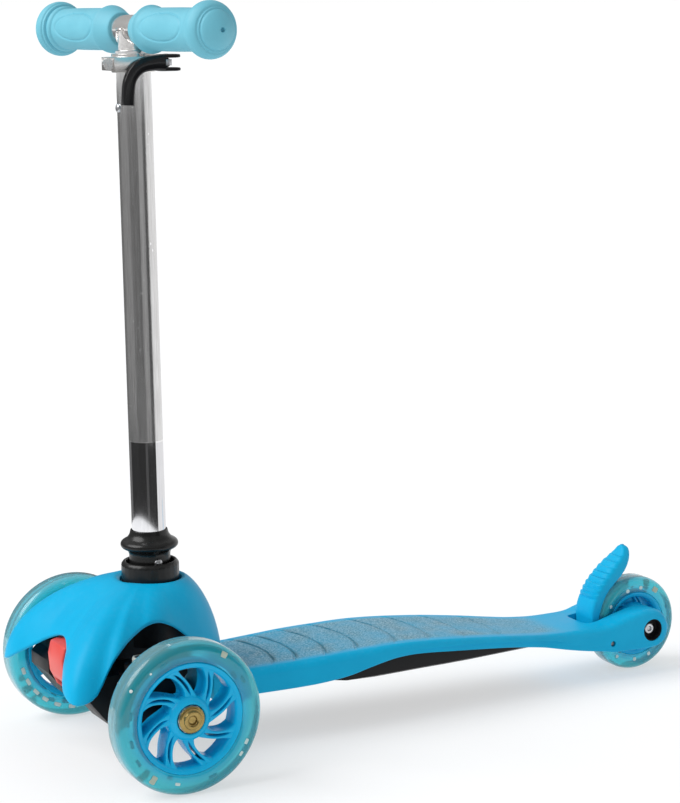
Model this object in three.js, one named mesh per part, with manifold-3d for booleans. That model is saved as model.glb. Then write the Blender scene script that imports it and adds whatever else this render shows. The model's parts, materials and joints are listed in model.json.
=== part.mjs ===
// Three wheel kids scooter: two leaning, steered front wheels, one braked rear wheel.
// Millimetres, +X forward, +Y to the rider's left, +Z up, origin on the ground
// under the middle of the overall box. Everything is first laid out from the
// point on the ground below the front axle, then moved back by one group.

import * as THREE from 'three';
import { mergeVertices } from 'three/addons/utils/BufferGeometryUtils.js';
import Module from 'manifold-3d';

const wasm = await Module();
wasm.setup();

// Clearances
const gap = 0.3; // between pieces that touch or turn in each other
const overrun = 2; // how far a cut runs past the face that it opens
const vertexMerge = 0.0005; // points closer than this are one point
const wheelSides = 28; // flats round each rim and tyre, so that they nest

// Wheels
const wheelbase = 487;
const frontTrack = 228;
const frontWheelRadius = 60;
const rearWheelRadius = 42;
const wheelWidth = 24;
const frontRimRadius = 43.5;
const rearRimRadius = 28.5;
const rimWall = 3.5;
const rimWidth = 22;
const tyreCrown = 7;
const frontWeb = 17; // thickness of the spoked web
const rearWeb = 10;
const frontSpokes = 8;
const rearSpokes = 6;
const spokeWidth = 6.4; // two ribs and the slot between them
const spokeSlot = 2.6;
const spokeSweep = THREE.MathUtils.degToRad(28);
const spokeTurn = THREE.MathUtils.degToRad(26.75);
const hubRadius = 16;
const hubHalfWidth = 12;
const bearingRadius = 11;
const bearingBore = 4;
const bearingWidth = 7;
const spacerRadius = 6;
const axleRadius = 3.7;
const axleHeadRadius = 10.5;
const axleHeadHeight = 3.4;
const lightRingWall = 2;
const lightRingWidth = 9;

// Front axle beam, knuckles and tie rod
const kingpinLead = 19; // kingpin ahead of the wheel axle
const kingpinRadius = 4;
const kingpinHeadHeight = 5;
const kingpinNutHeight = 4.6;
const barrelRadius = 11;
const barrelHeight = 30;
const barrelRise = 10; // barrel's middle above the axle
const plateThickness = 8;
const plateRadius = 12;
const plateGap = 0.8;
const knuckleWeb = 9;
const knuckleWebRear = 15; // web behind the axle
const knuckleWebFront = 34; // web ahead of the axle
const axleBossLength = 4.7;
const axleBossRadius = 7;
const barrelToWeb = 3;
const steeringArm = 29; // kingpin to tie rod
const armRadius = 8;
const tieRodThickness = 4.5;
const tieRodHalfWidth = 6;
const tieRodEndRadius = 7;
const tiePinRadius = 3;
const tiePinHead = 3;
const tieHoleSlack = 0.8;
const beamFront = 57;
const beamRear = 6;
const beamHalfSpan = 60;
const beamInner = 21.5;
const beamWall = 4;
const beamTopRise = 22; // beam's top above the axle
const beamFloor = 4.2;
const beamFloorLevel = 40;
const beamTailReach = 100;
const beamTailHalfWidth = 21;

// Lean pivot inside the front cover
const leanAxisRise = 15; // lean axis above the axle
const leanPinRadius = 4;
const leanBushRadius = 7.6;
const lugRadius = 9.5;
const lugHalfWidth = 6.5;
const lugRear = -2;
const lugFront = 24;
const headHalfWidth = 15.5;
const headWall = 3.5;
const crossWall = 12;
const headBottomRise = -6; // keel's underside against the axle
const headFront = 60;
const headRear = 47; // behind the axle
const leanHeadRadius = 7;
const leanHeadLength = 5.2;
const pegRadius = 3;
const towerRadius = 27;
const towerChamfer = 2.3;
const splitGap = 0.3; // between the head and its cap

// Stem
const stemX = -23;
const stemRake = THREE.MathUtils.degToRad(0.8); // forward lean of the stem
const tubeRadius = 13.5;
const tubeWall = 1.5;
const tubeDrop = 15.5; // tube's top below the handlebar
const socketRadius = 20;
const socketDepth = 40;
const collarRadius = 23;
const collarSlack = 1.7; // round the collar in the cover's hole
const collarRise = 19; // collar above the tower
const collarLip = 4;
const plugNeckRadius = 16.5;
const plugFlangeRadius = 23;
const plugBottom = 146.5;
const plugHeight = 33;
const clampDrop = 32.2; // clamp's lower edge below the handlebar
const clampHeight = 14;
const clampWall = 3;
const clampSlit = 3;
const clampBoltSide = 19; // bolt beside the stem axis
const clampBoltRadius = 2.2;
const clampBlockRear = 8; // block's rear face behind the stem axis
const clampBlockFront = 26;
const clampBlockWidth = 12;
const clampBlockHeight = 10;
const clampNutRadius = 4.4;
const clampNutLength = 7;
const leverPinRadius = 3;
const leverForkGap = 5.2;
const leverProng = 3.2;
const leverThickness = 5;
const leverDrop = 31;
const leverReach = 44;
const leverWidth = 9;
const lockButtonRise = 154.8;
const lockButtonRadius = 3.4;
const snapButtonDrop = 59.5; // snap button below the handlebar
const snapButtonRadius = 3.5;
const buttonProud = 2.2;
const leafThickness = 0.8;

// Handlebar
const barHeight = 570.5;
const barTurn = THREE.MathUtils.degToRad(9.2);
const barRadius = 11;
const barHalfLength = 115;
const innerTubeRadius = 11.4;
const innerTubeWall = 1.4;
const innerTubeLength = 190.5;
const heightTravel = 100;
const gripStart = 14;
const gripRadius = 16.3;
const gripFlangeRadius = 19.5;
const gripKnobRadius = 21.5;
const gripEnd = 123;

// Deck, fork and brake
const deckDepth = 25; // deck's top above its lower edge at the front
const deckFront = 56; // deck's front end behind the front axle
const deckHalfWidth = 52;
const deckSkin = 4.5;
const deckWall = 4;
const pocketFront = 98;
const pocketMargin = 24; // solid deck between the pocket and the wheel slot
const frameDrop = 4; // tray's underside below the deck's lower edge
const frameMargin = 9; // tray's rear end ahead of the pocket's
const frameRib = 3;
const frameBays = 6;
const forkInner = 16;
const forkOuter = 37;
const forkTaper = 7; // how far the arm's end draws in
const forkWall = 4;
const slotFront = 58; // wheel slot's front end ahead of the rear axle
const forkBossRadius = 7;
const counterboreRadius = 10;
const counterboreDepth = 9;
const rearBoltHead = 3.6;
const rearBoltHeadRadius = 6.5;
const pedalHalfWidth = 13.5;
const pedalRise = 71; // pedal's tip above the rear axle
const pedalPivotLead = 42;
const pedalPivotDrop = 7;
const brakePinRadius = 2.2;
const cheekThickness = 2.6;
const cheekRadius = 5;
const pedalRibs = 7;
const pedalRibDepth = 1.3;
const springWire = 0.7;
const springRadius = 3.6;
const springTurns = 2;
const springLeg = 6;

// Front cover
const coverNose = 76.7; // cover's front end ahead of the axle
const coverTop = 138.5;
const coverBase = 66;
const coverReach = 123.5; // stem axis to the longest point of the outline
const coverWall = 3;
const coverCrest = 3.2; // how much higher the cover is behind the stem than before it

// Worked out from the sizes above
const axleLevel = frontWheelRadius;
const rearLevel = rearWheelRadius;
const halfTrack = frontTrack / 2;
const originShift = (wheelbase + rearWheelRadius - coverNose) / 2;
const webOuter = halfTrack - hubHalfWidth - gap - axleBossLength;
const webInner = webOuter - knuckleWeb;
const kingpinSide = webInner - barrelToWeb - barrelRadius;
const barrelBottom = axleLevel + barrelRise - barrelHeight / 2;
const barrelTop = barrelBottom + barrelHeight;
const lowerPlateTop = barrelBottom - plateGap;
const lowerPlateBottom = lowerPlateTop - plateThickness;
const upperPlateBottom = barrelTop + plateGap;
const upperPlateTop = upperPlateBottom + plateThickness;
const tieRodX = kingpinLead - steeringArm;
const floorTop = beamFloorLevel + beamFloor;
const deckBase = floorTop + plateGap;
const frameFront = beamTailReach + overrun;
const pocketRear = wheelbase - slotFront - pocketMargin;
const frameRear = pocketRear - frameMargin;
const tieRodBottom = floorTop + plateGap;
const tieRodTop = tieRodBottom + tieRodThickness;
const armBottom = tieRodTop + plateGap;
const armTop = lowerPlateTop;
const leanLevel = axleLevel + leanAxisRise;
const headBottom = axleLevel + headBottomRise;
const cavityHalfWidth = headHalfWidth - headWall;
const cavityRear = lugRear - overrun;
const cavityFront = lugFront + overrun;
const cavityTop = leanLevel + lugRadius + overrun + gap;
const coverHole = collarRadius + collarSlack;
const towerTop = coverTop - coverWall - gap;
const socketFloor = towerTop - socketDepth;
const collarTop = towerTop + collarRise;
const tubeBottom = socketFloor + coverWall;
const tubeInner = tubeRadius - tubeWall;
const tubeTop = barHeight - tubeDrop;
const clampBottom = barHeight - clampDrop;
const clampMiddle = clampBottom + clampHeight / 2;
const snapButtonRise = barHeight - snapButtonDrop;
const innerTubeBottom = barHeight - innerTubeLength;
const leverPivotX = stemX - tubeRadius - gap - clampWall - leverThickness / 2 + gap;

// Finishes
const finishes = {
  blue: { color: 0x0aa0da, roughness: 0.42, metalness: 0 },
  gripBlue: { color: 0x62c3dd, roughness: 0.6, metalness: 0 },
  tyre: { color: 0x6fc6c4, roughness: 0.2, metalness: 0 },
  black: { color: 0x151516, roughness: 0.5, metalness: 0 },
  glossBlack: { color: 0x0c0c0d, roughness: 0.15, metalness: 0 },
  red: { color: 0xdf5149, roughness: 0.45, metalness: 0 },
  chrome: { color: 0xd9dadc, roughness: 0.12, metalness: 1 },
  silver: { color: 0xc9cbd0, roughness: 0.3, metalness: 1 },
  brass: { color: 0xb08d45, roughness: 0.32, metalness: 1 },
  rubber: { color: 0x1c1c1e, roughness: 0.85, metalness: 0 },
  white: { color: 0xe9ebe6, roughness: 0.4, metalness: 0 },
};

// Solids: three.js geometry turned into closed bodies that can be joined and cut
function solidOf(geometry) {
  const bare = geometry.clone();
  for (const name of Object.keys(bare.attributes)) {
    if (name !== 'position') bare.deleteAttribute(name);
  }
  const merged = mergeVertices(bare, vertexMerge);
  const triangles = [];
  for (let i = 0; i < merged.index.count; i += 3) {
    const [a, b, c] = [0, 1, 2].map((k) => merged.index.getX(i + k));
    if (a !== b && b !== c && c !== a) triangles.push(a, b, c);
  }
  return new wasm.Manifold(new wasm.Mesh({
    numProp: 3,
    vertProperties: merged.attributes.position.array,
    triVerts: new Uint32Array(triangles),
  }));
}

function geometryOf(solid) {
  const mesh = solid.getMesh();
  const geometry = new THREE.BufferGeometry();
  geometry.setAttribute('position', new THREE.BufferAttribute(mesh.vertProperties, mesh.numProp));
  geometry.setIndex(new THREE.BufferAttribute(mesh.triVerts, 1));
  geometry.computeVertexNormals();
  return geometry;
}

// The same solid on the other side of the middle plane y = 0
function mirrored(solid) {
  const geometry = geometryOf(solid);
  geometry.scale(1, -1, 1);
  const index = geometry.index.array;
  for (let i = 0; i < index.length; i += 3) {
    [index[i], index[i + 1]] = [index[i + 1], index[i]];
  }
  return solidOf(geometry);
}

function cut(solid, ...tools) {
  return tools.reduce((left, tool) => left.subtract(tool), solid);
}

function join(solid, ...others) {
  return others.reduce((whole, other) => whole.add(other), solid);
}

// Box between two values on each axis
function block([x0, x1], [y0, y1], [z0, z1]) {
  const geometry = new THREE.BoxGeometry(x1 - x0, y1 - y0, z1 - z0);
  geometry.translate((x0 + x1) / 2, (y0 + y1) / 2, (z0 + z1) / 2);
  return solidOf(geometry);
}

// Directions that a flat outline and its extrusion take on each axis
const basis = {
  x: [[0, 1, 0], [0, 0, 1], [1, 0, 0]],
  y: [[0, 0, 1], [1, 0, 0], [0, 1, 0]],
  z: [[1, 0, 0], [0, 1, 0], [0, 0, 1]],
};

function aimed(geometry, axis) {
  const [right, up, out] = basis[axis].map((v) => new THREE.Vector3(...v));
  return geometry.applyMatrix4(new THREE.Matrix4().makeBasis(right, up, out));
}

// Flat outline with thickness. Points are [y, z] for axis x, [x, z] for axis y
// and [x, y] for axis z.
function slab(points, axis, [from, to], holes = []) {
  const flat = (list) => {
    const run = list.map(([a, b]) => (axis === 'y' ? new THREE.Vector2(b, a) : new THREE.Vector2(a, b)));
    return THREE.ShapeUtils.isClockWise(run) ? run.reverse() : run;
  };
  const shape = new THREE.Shape(flat(points));
  holes.forEach((hole) => shape.holes.push(new THREE.Path(flat(hole))));
  const geometry = new THREE.ExtrudeGeometry(shape, { depth: to - from, bevelEnabled: false });
  geometry.translate(0, 0, from);
  return solidOf(aimed(geometry, axis));
}

// Points round a circle, or part of one
function arc([a, b], radius, start = 0, end = 2 * Math.PI, steps = 24) {
  const whole = Math.abs(end - start) > 2 * Math.PI - 0.001;
  const count = whole ? steps : steps + 1;
  return Array.from({ length: count }, (_, i) => {
    const angle = start + ((end - start) * i) / steps;
    return [a + radius * Math.cos(angle), b + radius * Math.sin(angle)];
  });
}

// Outline with two round ends, from one centre to another in the direction of a
function stadium([a0, a1], b, radius, steps = 6) {
  return [
    ...arc([a1, b], radius, -Math.PI / 2, Math.PI / 2, steps),
    ...arc([a0, b], radius, Math.PI / 2, 1.5 * Math.PI, steps),
  ];
}

// Round bar between two points
function rod(start, end, radius, sides = 14) {
  const from = new THREE.Vector3(...start);
  const to = new THREE.Vector3(...end);
  const along = to.clone().sub(from);
  const geometry = new THREE.CylinderGeometry(radius, radius, along.length(), sides);
  const turn = new THREE.Quaternion().setFromUnitVectors(new THREE.Vector3(0, 1, 0), along.normalize());
  geometry.applyQuaternion(turn);
  geometry.translate(...from.add(to).multiplyScalar(1 / 2).toArray());
  return solidOf(geometry);
}

// Closed profile of [radius, height] points turned about an axis through a centre
function turned(profile, axis, centre, sides = 20) {
  const points = [...profile, profile[0]].map(([r, h]) => new THREE.Vector2(r, h));
  const geometry = new THREE.LatheGeometry(points, sides);
  geometry.applyMatrix4(new THREE.Matrix4().makeRotationX(Math.PI / 2));
  aimed(geometry, axis);
  geometry.translate(...centre);
  return solidOf(geometry);
}

// Ring of a given bore, outer radius and height range
function ring(bore, radius, [from, to], axis, centre, sides = 32) {
  return turned([[bore, from], [radius, from], [radius, to], [bore, to]], axis, centre, sides);
}

// Surface through rings of points, closed at both ends or on itself
function skin(rings, endless = false) {
  const around = rings[0].length;
  const positions = rings.flat(2);
  const triangles = [];
  const last = endless ? rings.length : rings.length - 1;
  for (let i = 0; i < last; i += 1) {
    for (let j = 0; j < around; j += 1) {
      const [a, b] = [i * around + j, i * around + ((j + 1) % around)];
      const next = ((i + 1) % rings.length) * around;
      const [c, d] = [next + j, next + ((j + 1) % around)];
      triangles.push(a, b, d, a, d, c);
    }
  }
  if (!endless) {
    const far = (rings.length - 1) * around;
    for (let j = 1; j < around - 1; j += 1) {
      triangles.push(0, j + 1, j, far, far + j, far + j + 1);
    }
  }
  const geometry = new THREE.BufferGeometry();
  geometry.setAttribute('position', new THREE.Float32BufferAttribute(positions, 3));
  geometry.setIndex(triangles);
  return solidOf(geometry);
}

// Smooth curve through a table of [place, value, value...] rows
function smooth(rows) {
  const places = rows.map((row) => row[0]);
  const values = rows.flatMap((row) => row.slice(1));
  const curve = new THREE.CubicInterpolant(places, values, rows[0].length - 1);
  return (place) => [...curve.evaluate(place)];
}

const scooter = new THREE.Group();
scooter.position.x = originShift;

// The stem and all that it carries lean forward about the middle of the tower's top
const stem = new THREE.Group();
const stemFoot = new THREE.Vector3(stemX, 0, towerTop);
stem.position.copy(stemFoot);
stem.rotation.y = stemRake;
scooter.add(stem);

function meshOf(name, geometry, finish) {
  const mesh = new THREE.Mesh(geometry, new THREE.MeshStandardMaterial(finishes[finish]));
  mesh.name = name;
  return mesh;
}

function piece(name, solid, finish) {
  scooter.add(meshOf(name, geometryOf(solid), finish));
}

// A piece of the stem, laid out upright and then leaning with it
function stemPiece(name, solid, finish) {
  const geometry = geometryOf(solid).translate(-stemFoot.x, -stemFoot.y, -stemFoot.z);
  stem.add(meshOf(name, geometry, finish));
}

// Where a point of the upright stem lies once it leans
function raked(point) {
  const turn = new THREE.Euler(0, stemRake, 0);
  return new THREE.Vector3(...point).sub(stemFoot).applyEuler(turn).add(stemFoot).toArray();
}

// A left-hand solid and its mirror image, as two pieces
function pair(name, solid, finish) {
  piece(`${name}_left`, solid, finish);
  piece(`${name}_right`, mirrored(solid), finish);
}

// Wheels: profiles are turned about the axle, heights run along it
const half = wheelWidth / 2;

function tyreProfile(radius, rimRadius) {
  const shoulder = arc([radius - tyreCrown, half - tyreCrown], tyreCrown, 0, Math.PI / 2, 3);
  const lower = shoulder.map(([r, h]) => [r, -h]).reverse();
  const bore = rimRadius + gap;
  const groove = bore + lightRingWall + gap;
  const grooveHalf = lightRingWidth / 2 + gap;
  return [
    ...lower, ...shoulder, [bore, half], [bore, grooveHalf],
    [groove, grooveHalf], [groove, -grooveHalf], [bore, -grooveHalf], [bore, -half],
  ];
}

// Openings between double spokes, and the slot in each spoke, all swept alike. Each
// row is a share of the way out and a share of the room on one side of the middle.
const openingShares = [[0, 0.3], [0.17, 0.88], [0.86, 1], [1, 0.72]];
const slotShares = [[0, 1], [1, 1]];

function spokeHoles(count, rimRadius, turnSign) {
  const hubEdge = hubRadius + spokeSlot;
  const rimEdge = rimRadius - rimWall * 1.1;
  const pitch = (2 * Math.PI) / count;
  const outline = (shares, middle, from, roomAt) => {
    const side = (sign) => shares.map(([out, room]) => {
      const radius = from + (rimEdge - from) * out;
      const sweep = (spokeSweep * (radius - hubEdge)) / (rimEdge - hubEdge);
      const angle = turnSign * (sweep - spokeTurn - middle + sign * room * roomAt(radius));
      return [radius * Math.cos(angle), radius * Math.sin(angle)];
    });
    return [...side(-1), ...side(1).reverse()];
  };
  const openingRoom = (radius) => pitch / 2 - spokeWidth / 2 / radius;
  const slotRoom = (radius) => spokeSlot / 2 / radius;
  return Array.from({ length: count }, (_, i) => i * pitch).flatMap((middle) => [
    outline(openingShares, middle, hubRadius + spokeWidth, openingRoom),
    outline(slotShares, middle + pitch / 2, hubEdge, slotRoom),
  ]);
}

function wheel(name, [x, y, z], sizes, turnSign) {
  const { radius, rimRadius, web, spokes } = sizes;
  const centre = [x, y, z];
  const webRing = arc([0, 0], rimRadius - rimWall / 2, 0, 2 * Math.PI, wheelSides);
  const webBore = arc([0, 0], bearingRadius + rimWall / 2, 0, 2 * Math.PI, 16);
  const webHoles = [...spokeHoles(spokes, rimRadius, turnSign), webBore];
  const placedWeb = geometryOf(slab(webRing, 'y', [-web / 2, web / 2], webHoles)).translate(x, y, z);
  const rim = ring(rimRadius - rimWall, rimRadius, [-rimWidth / 2, rimWidth / 2], 'y', centre, wheelSides);
  const seat = bearingRadius + gap;
  const stop = hubHalfWidth - bearingWidth - gap;
  const hub = turned([
    [seat, -hubHalfWidth], [hubRadius, -hubHalfWidth], [hubRadius, hubHalfWidth], [seat, hubHalfWidth],
    [seat, stop], [spacerRadius + gap, stop], [spacerRadius + gap, -stop], [seat, -stop],
  ], 'y', centre, 18);
  piece(`${name}_core`, join(hub, solidOf(placedWeb), rim), 'blue');
  piece(`${name}_tyre`, turned(tyreProfile(radius, rimRadius), 'y', centre, wheelSides), 'tyre');
  piece(`${name}_light_ring`, ring(rimRadius + gap, rimRadius + gap + lightRingWall,
    [-lightRingWidth / 2, lightRingWidth / 2], 'y', centre, wheelSides), 'white');
  const bearing = (span) => ring(bearingBore, bearingRadius, span, 'y', centre, 12);
  const upper = [hubHalfWidth - bearingWidth, hubHalfWidth];
  const lower = [-hubHalfWidth, bearingWidth - hubHalfWidth];
  piece(`${name}_outer_bearing`, bearing(y < 0 ? lower : upper), 'silver');
  piece(`${name}_inner_bearing`, bearing(y < 0 ? upper : lower), 'silver');
  const between = [-stop + gap, stop - gap];
  piece(`${name}_spacer`, ring(bearingBore, spacerRadius, between, 'y', centre, 10), 'silver');
}

const frontWheel = {
  radius: frontWheelRadius, rimRadius: frontRimRadius, web: frontWeb, spokes: frontSpokes,
};
const rearWheel = {
  radius: rearWheelRadius, rimRadius: rearRimRadius, web: rearWeb, spokes: rearSpokes,
};
wheel('left_wheel', [0, halfTrack, axleLevel], frontWheel, -1);
wheel('right_wheel', [0, -halfTrack, axleLevel], frontWheel, 1);
wheel('rear_wheel', [-wheelbase, 0, rearLevel], rearWheel, -1);

// Front axle bolt: low domed head outside, shank into the knuckle
const boltSeat = halfTrack + hubHalfWidth + gap;
const boltHeadFace = boltSeat + axleHeadHeight;
const axleBolt = turned([
  [0, webInner + gap], [axleRadius, webInner + gap], [axleRadius, boltSeat], [axleHeadRadius, boltSeat],
  [axleHeadRadius, boltSeat + axleHeadHeight / 2], [axleHeadRadius - axleHeadHeight, boltHeadFace],
  [axleRadius, boltHeadFace], [axleRadius - 1.5 * gap, boltSeat + axleHeadHeight / 2],
  [0, boltSeat + axleHeadHeight / 2],
], 'y', [0, 0, axleLevel], 18);
pair('axle_bolt', axleBolt, 'brass');

// Knuckle: two plates over the beam's barrel, a web beside the wheel, a steering arm
const kingpin = [kingpinLead, kingpinSide];
const edge = plateThickness / 2;
const webOutline = [
  [-knuckleWebRear, lowerPlateTop], [-knuckleWebRear + edge, lowerPlateBottom],
  [knuckleWebFront - 2 * edge, lowerPlateBottom], [knuckleWebFront, lowerPlateTop],
  [knuckleWebFront, upperPlateBottom], [knuckleWebFront - edge, upperPlateTop],
  [0, upperPlateTop], [-knuckleWebRear, axleLevel + axleBossRadius * 2],
];
const plateOutline = [
  ...arc(kingpin, plateRadius, Math.PI, 2 * Math.PI, 8),
  [kingpinLead + plateRadius, webInner + overrun], [kingpinLead - plateRadius, webInner + overrun],
];
const axleAt = (y) => [0, y, axleLevel];
const kingpinAt = (z) => [kingpinLead, kingpinSide, z];
const tiePinAt = (z) => [tieRodX, kingpinSide, z];
const knuckleBody = join(
  slab(webOutline, 'y', [webInner, webOuter]),
  slab(plateOutline, 'z', [lowerPlateBottom, lowerPlateTop]),
  slab(plateOutline, 'z', [upperPlateBottom, upperPlateTop]),
  slab(stadium([tieRodX, kingpinLead], kingpinSide, armRadius), 'z', [armBottom, armTop]),
  rod(axleAt(webOuter - overrun), axleAt(webOuter + axleBossLength), axleBossRadius),
);
const knuckle = cut(
  knuckleBody,
  rod(kingpinAt(lowerPlateBottom - overrun), kingpinAt(upperPlateTop + overrun), kingpinRadius + gap),
  rod(tiePinAt(armBottom - overrun), tiePinAt(armTop + overrun), tiePinRadius + gap, 16),
  rod(axleAt(webInner - overrun), axleAt(webOuter + axleBossLength + overrun), axleRadius + gap),
  ring(barrelRadius + plateGap, barrelRadius + plateGap + barrelToWeb, [barrelBottom - gap, barrelTop + gap],
    'z', [kingpinLead, kingpinSide, 0], 16),
);
pair('knuckle', knuckle, 'black');

// Kingpin with its head below, its nut above
const kingpinTop = upperPlateTop + gap + kingpinNutHeight;
const kingpinFoot = lowerPlateBottom - gap;
pair('kingpin', turned([
  [0, kingpinFoot - kingpinHeadHeight], [kingpinRadius * 1.7, kingpinFoot - kingpinHeadHeight],
  [kingpinRadius * 1.7, kingpinFoot], [kingpinRadius, kingpinFoot],
  [kingpinRadius, kingpinTop], [0, kingpinTop],
], 'z', [kingpinLead, kingpinSide, 0], 14), 'silver');
pair('kingpin_nut', slab(arc(kingpin, kingpinRadius * 1.6, 0, 2 * Math.PI, 6), 'z',
  [upperPlateTop + gap, kingpinTop - gap], [arc(kingpin, kingpinRadius + gap, 0, 2 * Math.PI, 12)]), 'white');

// Tie rod below the lean pivot, and the pins that join it to the knuckle arms
const rodOutline = [
  ...arc([tieRodX, kingpinSide], tieRodEndRadius, 0, Math.PI, 10),
  [tieRodX - tieRodHalfWidth, 0],
  ...arc([tieRodX, -kingpinSide], tieRodEndRadius, Math.PI, 2 * Math.PI, 10),
  [tieRodX + tieRodHalfWidth, 0],
];
const pinHole = (y) => arc([tieRodX, y], tiePinRadius + tieHoleSlack, 0, 2 * Math.PI, 12);
const pegHole = arc([tieRodX, 0], pegRadius + tieHoleSlack, 0, 2 * Math.PI, 12);
piece('tie_rod', slab(rodOutline, 'z', [tieRodBottom, tieRodTop],
  [pinHole(kingpinSide), pinHole(-kingpinSide), pegHole]), 'silver');
pair('tie_rod_pin', turned([
  [0, tieRodBottom - gap - tiePinHead], [tiePinRadius * 1.8, tieRodBottom - gap - tiePinHead],
  [tiePinRadius * 1.8, tieRodBottom - gap], [tiePinRadius, tieRodBottom - gap],
  [tiePinRadius, armTop], [0, armTop],
], 'z', [tieRodX, kingpinSide, 0], 16), 'silver');

// Axle beam: two hollow arms, a floor that runs back under the deck, a lug for the lean pin
const beamTop = axleLevel + beamTopRise;
const beamBottom = floorTop - beamFloor / 2;
const armOutline = [
  [beamRear, beamBottom], [beamFront * 2 / 3, beamBottom], [beamFront, axleLevel + beamWall * 1.5],
  [beamFront, beamTop - beamWall * 1.5], [beamFront - beamWall * 1.5, beamTop], [beamRear, beamTop],
];
const beamArm = cut(
  slab(armOutline, 'y', [beamInner, beamHalfSpan]),
  block([beamRear - overrun, beamFront * 2 / 3 - beamWall], [beamInner + beamWall, beamHalfSpan - beamWall],
    [beamBottom + beamWall, beamTop - beamWall]),
);
const barrelArm = cut(
  join(
    block([kingpinLead - barrelRadius, kingpinLead + barrelRadius], [beamHalfSpan - overrun, kingpinSide],
      [barrelBottom, barrelTop]),
    rod(kingpinAt(barrelBottom), kingpinAt(barrelTop), barrelRadius, 16),
  ),
  rod(kingpinAt(barrelBottom - overrun), kingpinAt(barrelTop + overrun), kingpinRadius + gap),
);
const leftArm = join(beamArm, barrelArm);
const leanAt = (x) => [x, 0, leanLevel];
const beamLug = cut(
  join(
    block([lugRear, lugFront], [-lugHalfWidth, lugHalfWidth], [beamFloorLevel, leanLevel]),
    rod(leanAt(lugRear), leanAt(lugFront), lugRadius, 18),
  ),
  rod(leanAt(lugRear - overrun), leanAt(lugFront + overrun), leanBushRadius + gap, 16),
);
const beamFloorPlate = join(
  block([-beamTailReach, lugFront], [-beamTailHalfWidth, beamTailHalfWidth], [beamFloorLevel, floorTop]),
  block([beamRear, lugFront], [-beamHalfSpan, beamHalfSpan], [beamFloorLevel, floorTop]),
);
piece('axle_beam', join(beamFloorPlate, leftArm, mirrored(leftArm), beamLug), 'black');

// Rubber bush that centres the lean, its bolt and nut
const leanBush = ring(leanPinRadius + gap, leanBushRadius, [lugRear, lugFront], 'x', leanAt(0), 16);
piece('lean_bush', leanBush, 'rubber');
const wallRear = cavityRear - crossWall;
const wallFront = cavityFront + crossWall;
piece('lean_bolt', turned([
  [0, wallRear - leanHeadLength - overrun], [leanPinRadius, wallRear - leanHeadLength - overrun],
  [leanPinRadius, wallFront + gap], [leanHeadRadius, wallFront + gap],
  [leanHeadRadius, wallFront + gap + leanHeadLength], [0, wallFront + gap + leanHeadLength],
], 'x', leanAt(0), 14), 'silver');
const leanNutBore = arc([0, leanLevel], leanPinRadius + gap, 0, 2 * Math.PI, 16);
piece('lean_nut', slab(arc([0, leanLevel], leanHeadRadius, 0, 2 * Math.PI, 6), 'x',
  [wallRear - gap - leanHeadLength, wallRear - gap], [leanNutBore]), 'silver');

// Steering head: a hollow keel over the lug, with the stem's tower on top
const headOutline = [
  [-headRear, headBottom + headWall * 2], [-headRear + headWall * 2, headBottom],
  [headFront / 5, headBottom], [headFront * 0.42, headBottom - headWall],
  [headFront * 0.72, headBottom - headWall], [headFront * 0.89, axleLevel],
  [headFront * 0.98, leanLevel - headWall], [headFront, leanLevel + headWall * 3],
  [headFront * 0.96, coverTop - headHalfWidth * 3 + headWall],
  [headFront * 0.8, coverTop - headHalfWidth * 2.6],
  [headFront * 0.45, coverTop - headHalfWidth * 1.5], [0, towerTop - headWall * 3],
  [-headRear, towerTop - headWall * 3],
];
const cavitySides = [-cavityHalfWidth, cavityHalfWidth];
const cavity = (span, top) => block(span, cavitySides, [beamFloorLevel, top]);
const stemAt = (z) => [stemX, 0, z];
const towerFoot = socketFloor - headWall * 2;
const tower = turned([
  [0, towerFoot], [towerRadius, towerFoot], [towerRadius, towerTop - towerChamfer],
  [towerRadius - towerChamfer, towerTop], [0, towerTop],
], 'z', stemAt(0), 24);
const headBody = cut(
  join(slab(headOutline, 'y', [-headHalfWidth, headHalfWidth]), tower),
  cavity([cavityRear, cavityFront], cavityTop),
  cavity([wallFront, headFront * 0.93], leanLevel + headWall * 4),
  cavity([-headRear + headWall, wallRear], cavityTop),
  rod(leanAt(wallRear - overrun), leanAt(wallFront + overrun), leanPinRadius + gap),
  rod(raked(stemAt(socketFloor)), raked(stemAt(towerTop + overrun)), socketRadius + gap, 24),
);
const peg = rod([tieRodX, 0, tieRodBottom + gap], [tieRodX, 0, headBottom + overrun], pegRadius, 16);
const split = ([from, to]) => block([from, to], [-towerRadius, towerRadius], [beamFloorLevel, coverTop]);
piece('steering_head', cut(join(headBody, peg), split([wallFront, headFront + overrun])), 'black');

// Coloured cap over the lean bolt, on the head's front face
piece('head_cap', headBody.intersect(split([wallFront + splitGap, headFront + overrun])), 'red');

// Collar: sleeve in the tower, cup above the cover
stemPiece('collar', turned([
  [tubeRadius + gap, tubeBottom], [socketRadius, tubeBottom], [socketRadius, towerTop + 2 * gap],
  [collarRadius, towerTop + 2 * gap], [collarRadius, collarTop - overrun], [collarRadius - overrun, collarTop],
  [collarRadius - collarLip, collarTop], [collarRadius - collarLip, plugBottom - gap - overrun],
  [tubeRadius + gap, plugBottom - gap - overrun],
], 'z', stemAt(0), 24), 'black');

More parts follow.
